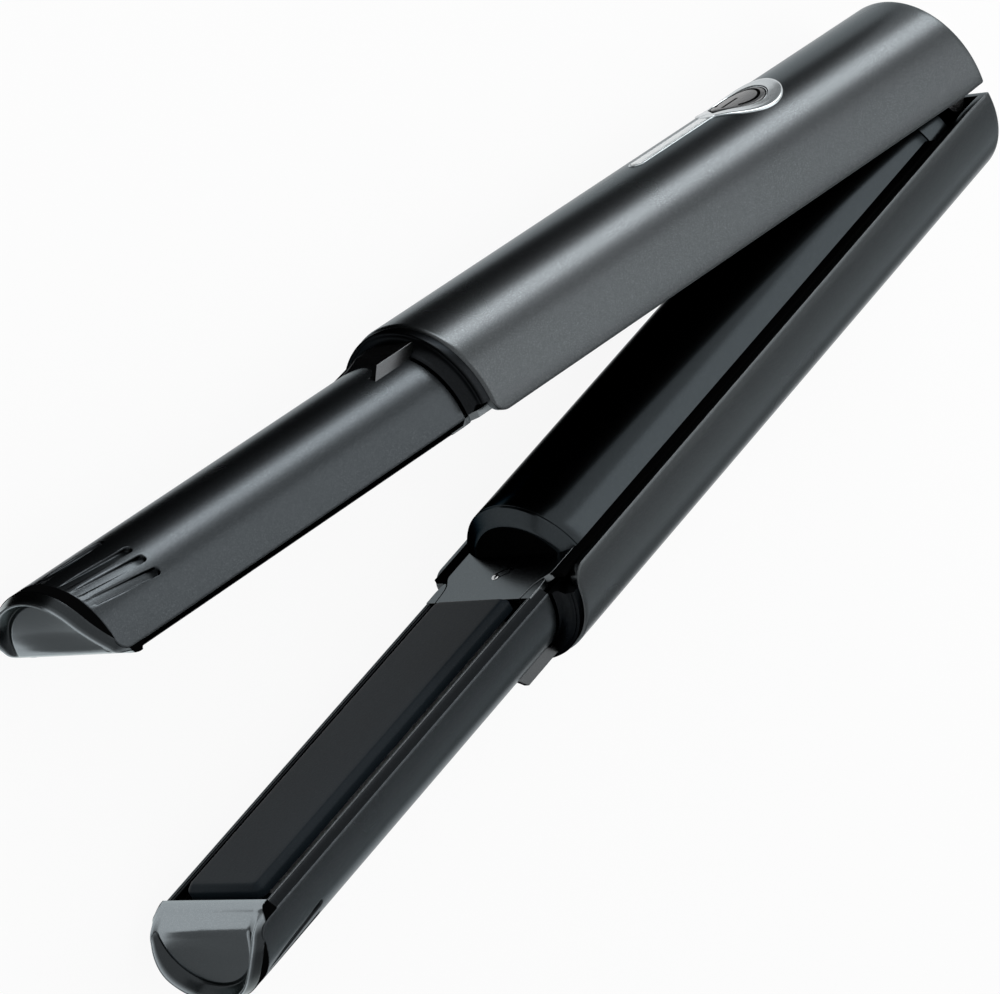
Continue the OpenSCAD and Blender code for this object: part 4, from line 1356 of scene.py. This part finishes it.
@dataclass
class Controls(Piece):
    """Power key in a well painted near-black for shade, inside a bright bezel, and the light bar that runs forward
    from it.
    """

    centre: float = 43.6
    crest: float = 18.8
    bezel: float = 9.0
    well: float = 6.2
    drop_angle: float = 37.0
    shoulder: Profile = ((7.45, 5.05), (9.6, 1.8))
    bezel_face: Profile = ((0.12, 0.31), (0.3, 0.27), (0.5, 0.17), (0.7, 0.09), (0.88, 0.07))
    well_floor: Profile = ((0.75, -0.2), (0.4, -0.3), (0.1, -0.42), (0.0, -0.55), (0.0, -1.3))
    key_radius: float = 5.6
    key_foot: float = 18.06
    key_edge: Profile = ((0.0, 18.45), (0.06, 18.58), (0.2, 18.66), (0.45, 18.7))
    key_top: Profile = ((0.8, 18.72), (0.5, 18.73), (0.2, 18.73))
    symbol_ring: tuple[float, float] = (4.72, 4.08)
    bar_start: float = 54.1
    bar_end: float = 77.0
    bar_half: float = 1.8
    turns: int = 240

    def on_crest(self, x: Any, y: Any, height: Any) -> np.ndarray:
        """Points at a radial height over the handle axis: z = RISE + sqrt(height squared - y squared)."""
        x, y, height = np.broadcast_arrays(x, y, height)
        return np.stack([x, y, RISE + np.sqrt(height ** 2 - y ** 2)], axis=-1)

    def round_key(self, reach: Any, turn: np.ndarray, height: Any) -> np.ndarray:
        """Points round the key at a reach from its centre and a radial height."""
        return self.on_crest(self.centre + reach * np.cos(turn), reach * np.sin(turn), height)

    def outer_reach(self, turn: np.ndarray) -> np.ndarray:
        """Outline of the bezel by angle: a circle, two straight shoulders and a short blunt neck."""
        angle = np.abs(np.arctan2(np.sin(turn), np.cos(turn)))
        first, last = self.shoulder
        run, fall = last[0] - first[0], last[1] - first[1]
        shoulder = (first[0] * fall - first[1] * run) / (np.cos(angle) * fall - np.sin(angle) * run)
        neck = (self.bar_start + 0.25 - self.centre) / np.cos(np.minimum(angle, 1.0))
        side = self.bar_half / np.maximum(np.sin(angle), 1e-6)
        inner = np.where(angle < math.atan2(last[1], last[0]), np.minimum(neck, side), shoulder)
        return np.where(angle > math.atan2(first[1], first[0]), self.bezel, inner)

    def well_reach(self, turn: np.ndarray) -> np.ndarray:
        """Outline of the well: a circle whose tangents meet in a point towards the light bar."""
        angle = np.abs(np.arctan2(np.sin(turn), np.cos(turn)))
        lead = math.radians(self.drop_angle)
        return np.where(angle < lead, self.well / np.cos(lead - angle), self.well)

    def ring(self, name: str, slot: str, rows: Sequence[tuple[np.ndarray, float]], node: str = "") -> None:
        """A closed ring round the key from rows of (reach by angle, height from the crest)."""
        turn = full_turn(self.turns)
        mesh = SurfaceMesh(name)
        points = np.array([self.round_key(reach, turn, self.crest + height) for reach, height in rows])
        mesh.grid(points, wrap_rows=True, wrap_columns=True)
        self.settle(mesh, slot, node, sharp=40.0)

    def bezel_and_well(self) -> None:
        """The bezel's dished face between its outline and the well, the well's floor, and a thin trim."""
        turn = full_turn(self.turns)
        outer, well = self.outer_reach(turn), self.well_reach(turn)
        face = [(outer + (well - outer) * share, height) for share, height in self.bezel_face]
        self.ring("key_bezel", "bezel", [
            (outer, -0.35), (outer, 0.16), (outer - 0.12, 0.27), *face, (well + 0.08, 0.04), (well, -0.05),
            (well, -1.0), (outer + (well - outer) * 0.5, -1.0)], "button_bezel")
        # Painted shade: the well's floor is near-black for the shade in the gap round the key.
        hole = self.key_radius + 0.2 + 0.0 * turn
        floor = [(hole + (well - hole) * share, height) for share, height in self.well_floor]
        self.ring("key_well", "nest", [(well - 0.02, -0.12), *floor, (well - 0.02, -1.3)])
        arc = np.radians(np.linspace(50.0, 310.0, 121))
        taper = np.sqrt(np.clip(np.sin(np.linspace(0.0, np.pi, 121)), 0.0, 1.0)) * 0.1 + 0.012
        around = full_turn(10)[:, None]
        trim = SurfaceMesh("well_trim")
        trim.loft(np.moveaxis(self.round_key(self.key_radius + 0.34 + taper * np.cos(around), arc,
                                             self.crest - 0.27 + taper * np.sin(around)), 0, 1))
        self.settle(trim, "bezel", sharp=60.0)

    def key(self) -> None:
        """The key: a disc with a rolled edge, and an open ring and a bar as dark inlays.

        The edge has (inset, height) steps and the top (share of the radius, height) steps; both ends
        close at the centre, so that the foot keeps the handle's curve.
        """
        r, foot, top = self.key_radius, self.key_foot, self.key_top[-1][1]
        edge = [(r - inset, height) for inset, height in self.key_edge]
        face = [(r * share, height) for share, height in self.key_top]
        rows = [(0.001, foot), (r * 0.5, foot), (r, foot), *edge, *face, (0.001, top)]
        mesh = SurfaceMesh("key_disc")
        mesh.loft(np.array([self.round_key(reach, full_turn(120), height) for reach, height in rows]))
        self.settle(mesh, "key", "power_key", "power_key_body", sharp=50.0)
        symbol = SurfaceMesh("key_symbol")
        arc = np.radians(np.linspace(42.0, 318.0, 90))
        width = np.array(self.symbol_ring)[:, None]
        rim = [self.round_key(width, arc, 18.745), self.round_key(width[::-1], arc, 18.4)]
        symbol.loft(np.moveaxis(np.concatenate(rim), 0, 1))
        x, half = self.centre + np.array([[0.0], [4.7]]), np.array([-0.3, 0.3])
        symbol.loft(np.concatenate([self.on_crest(x, half, 18.75), self.on_crest(x, -half, 18.4)], axis=1))
        self.settle(symbol, "nest", body="power_key_body")

    def pill(self, name: str, slot: str, levels: Sequence[tuple[float, float]], node: str = "") -> None:
        """A long bar, square behind and half round in front, drawn in step by step.

        Args:
            name: name of the piece.
            slot: its material slot.
            levels: (half width, height from the crest) from the foot to the top.
            node: CAD node that it stands for, if any.
        """
        rows = []
        for half, height in levels:
            last = self.bar_end - self.bar_half
            a = np.linspace(-np.pi / 2, np.pi / 2, 25)[1:-1]
            side = np.linspace(self.bar_start + 0.3, last, 40)
            x = np.concatenate([side, last + half * np.cos(a), side[::-1]])
            y = np.concatenate([np.full(40, -half), half * np.sin(a), np.full(40, half)])
            rows.append(self.on_crest(x, y, self.crest + height))
        mesh = SurfaceMesh(name)
        index = mesh.grid(np.array(rows), wrap_columns=True)
        top, half_count = index[-1], index.shape[1] // 2
        mesh.strip(top[:half_count], top[::-1][:half_count])
        mesh.cap(index[0], top[half_count - 1:half_count + 2])
        self.settle(mesh, slot, node)

    def make(self) -> None:
        """The key with its surround, then a bright rim, a dark line in it painted as the shade of a gap, and the
        clear bar.
        """
        self.bezel_and_well()
        self.key()
        self.pill("light_rim", "bezel", [
            (1.8, -0.3), (1.8, 0.1), (1.7, 0.2), (1.55, 0.22), (1.46, 0.18), (1.42, 0.1)])
        # Painted shade: a dark strip between rim and guide stands for the shaded gap.
        self.pill("light_gap_shade", "socket", [(1.5, -0.3), (1.47, 0.14), (1.2, 0.15)])
        self.pill("light_guide_bar", "lamp", [
            (1.25, -0.3), (1.22, 0.17), (1.12, 0.24), (0.9, 0.27), (0.5, 0.285)], "light_bar")


# ---- studio ----


@dataclass
class Studio:
    """Pale floor, soft lights and the camera."""

    eye: Point = (0.860824, -0.463123, 0.981675)
    right: Point = (-0.58360, 0.40103, 0.70611)
    forward: Point = (-0.61886, 0.34335, -0.70649)
    lens: float = 262.556
    sky: float = 0.62
    floor_half: float = 3.0
    floor_glow: float = 0.92
    floor_cloths: tuple[tuple[str, float, Profile], ...] = (
        ("side_flag", 0.006, (
            (-0.17, -0.048), (-0.129, -0.047), (-0.042, -0.0425), (-0.004, -0.041), (0.033, -0.0405),
            (0.06, -0.042), (0.09, -0.041), (0.132, -0.045), (0.16, -0.20), (-0.30, -0.20))),
        ("front_flag", 0.26, ((0.134, -0.075), (0.185, -0.075), (0.185, 0.095), (0.134, 0.095))),
        ("far_flag", 0.3, ((-0.30, 0.05), (-0.01, 0.07), (-0.01, 0.4), (-0.30, 0.4))))
    far_card: tuple[float, tuple[Point, ...]] = (
        0.8, ((-1.6, 0.6, 0.0), (0.4, 0.6, 0.0), (0.4, 0.6, 0.9), (-1.6, 0.6, 0.9)))
    boxes: tuple[tuple[str, Point, Point, tuple[float, float], float], ...] = (
        ("overhead_box", (-0.6, -0.17, 0.65), (-0.6, -0.17, 0.0), (0.8, 0.82), 1.35),
        ("side_strip", (-0.55, -0.7, 0.135), (-0.1, 0.0, 0.05), (0.85, 0.24), 7.5))

    def camera(self) -> None:
        """A long lens: the camera looks along forward, with right as the picture's right side."""
        data = bpy.data.cameras.new("camera")
        data.lens = self.lens
        data.sensor_width = 36.0
        data.clip_end = 20.0
        camera = bpy.data.objects.new("camera", data)
        back = -Vector(self.forward).normalized()
        right = Vector(self.right)
        right = (right - back * right.dot(back)).normalized()
        up = back.cross(right)
        turn = Matrix((right, up, back)).transposed().to_4x4()
        camera.matrix_world = Matrix.Translation(Vector(self.eye)) @ turn
        bpy.context.scene.collection.objects.link(camera)
        bpy.context.scene.camera = camera

    def area(self, name: str, centre: Point, aim: Point, size: tuple[float, float], radiance: float) -> None:
        """A soft box.

        Args:
            name: name of the light.
            centre: its middle.
            aim: the point it faces.
            size: width and height in metres.
            radiance: brightness of its face; the power is pi times area times radiance.
        """
        data = bpy.data.lights.new(name, "AREA")
        data.shape = "RECTANGLE"
        data.size, data.size_y = size
        data.energy = math.pi * size[0] * size[1] * radiance
        light = bpy.data.objects.new(name, data)
        light.rotation_euler = (Vector(aim) - Vector(centre)).to_track_quat("-Z", "Y").to_euler()
        light.location = centre
        light.visible_camera = False
        bpy.context.scene.collection.objects.link(light)

    def world(self) -> None:
        """An even pale sky that the camera and the reflections see as white."""
        book = NodeBook("studio_sky", world=True)
        shades = [book.node("ShaderNodeBackground", {}, {"Color": WHITE, "Strength": level})
                  for level in (self.sky, 1.0)]
        bpy.context.scene.world = book.background(*shades)

    def sheet(self, name: str, corners: Sequence[Point], material: Material) -> Object:
        """A flat sheet of the studio with its material."""
        mesh = bpy.data.meshes.new(name)
        mesh.from_pydata(list(corners), [], [tuple(range(len(corners)))])
        mesh.materials.append(material)
        sheet = bpy.data.objects.new(name, mesh)
        bpy.context.scene.collection.objects.link(sheet)
        return sheet

    def floor(self) -> None:
        """A wide pale floor that keeps the shadow: most of its white is its own light."""
        book = NodeBook("pale_floor")
        cloud = book.noise(3.0, 2.0)
        diffuse = book.node("ShaderNodeBsdfDiffuse", {}, {
            "Color": book.blend(cloud, (0.80, 0.805, 0.81), (0.82, 0.825, 0.83))})
        glow = book.node("ShaderNodeEmission", {}, {"Color": WHITE, "Strength": 1.0})
        size = self.floor_half
        corners = [(-size, -size, 0.0), (size, -size, 0.0), (size, size, 0.0), (-size, size, 0.0)]
        self.sheet("studio_floor", corners, book.background(diffuse, glow, self.floor_glow))

    def flag(self, name: str, shade: float, corners: Sequence[Point]) -> None:
        """A cloth of one grey that only reflections see, for the bands in the metal."""
        book = NodeBook(name)
        weave = book.noise(900.0, 2.0)
        tones = [(shade * part,) * 3 for part in (0.9, 1.1)]
        material = book.finish(Base_Color=book.blend(weave, *tones), Roughness=weave * 0.1 + 0.85,
                               Specular_IOR_Level=0.1)
        cloth = self.sheet(name, corners, material)
        cloth.visible_camera = False
        cloth.visible_diffuse = False
        cloth.visible_shadow = False

    def make(self) -> None:
        """Sets the camera, the floor, the sky and the lights."""
        self.camera()
        self.floor()
        for name, shade, outline in self.floor_cloths:
            self.flag(name, shade, [(x, y, 0.0005) for x, y in outline])
        self.flag("far_card", *self.far_card)
        self.world()
        for light in self.boxes:
            self.area(*light)
        bpy.context.scene.view_settings.view_transform = "Standard"


ARM_PARTS = (HandleShell, Collar, FingerRest, Barrel, PlateFrame, TipCap, InnerPanel, PanelScrew, HotPlate)


def main() -> None:
    """Builds every sub-assembly in order, dresses the CAD nodes that stay, and sets the studio."""
    logging.basicConfig(level=logging.INFO, format="%(name)s %(message)s")
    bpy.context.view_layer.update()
    joints = {joint["name"]: joint for joint in frame["joints"]}
    across = joints["lower_plate_float"]["axis"]
    half_open = math.atan2(-across[0], across[1])
    pin = tuple(float(v) for v in joints["main_hinge"]["pos_m"])
    finishes = Finishes({row["node"]: row["material_slot"] for row in frame["record"]["subparts"]})
    lower, upper = (ArmPlace(side, pin, half_open) for side in Side)
    for place in (lower, upper):
        for part in ARM_PARTS:
            part(place, finishes).make()
    BatteryTube(lower, finishes).make()
    HingeDrum(lower, finishes).make()
    TubeNest(upper, finishes).make()
    Controls(upper, finishes).make()
    finishes.dress_rest()
    Studio().make()


if __name__ == "__main__":
    main()
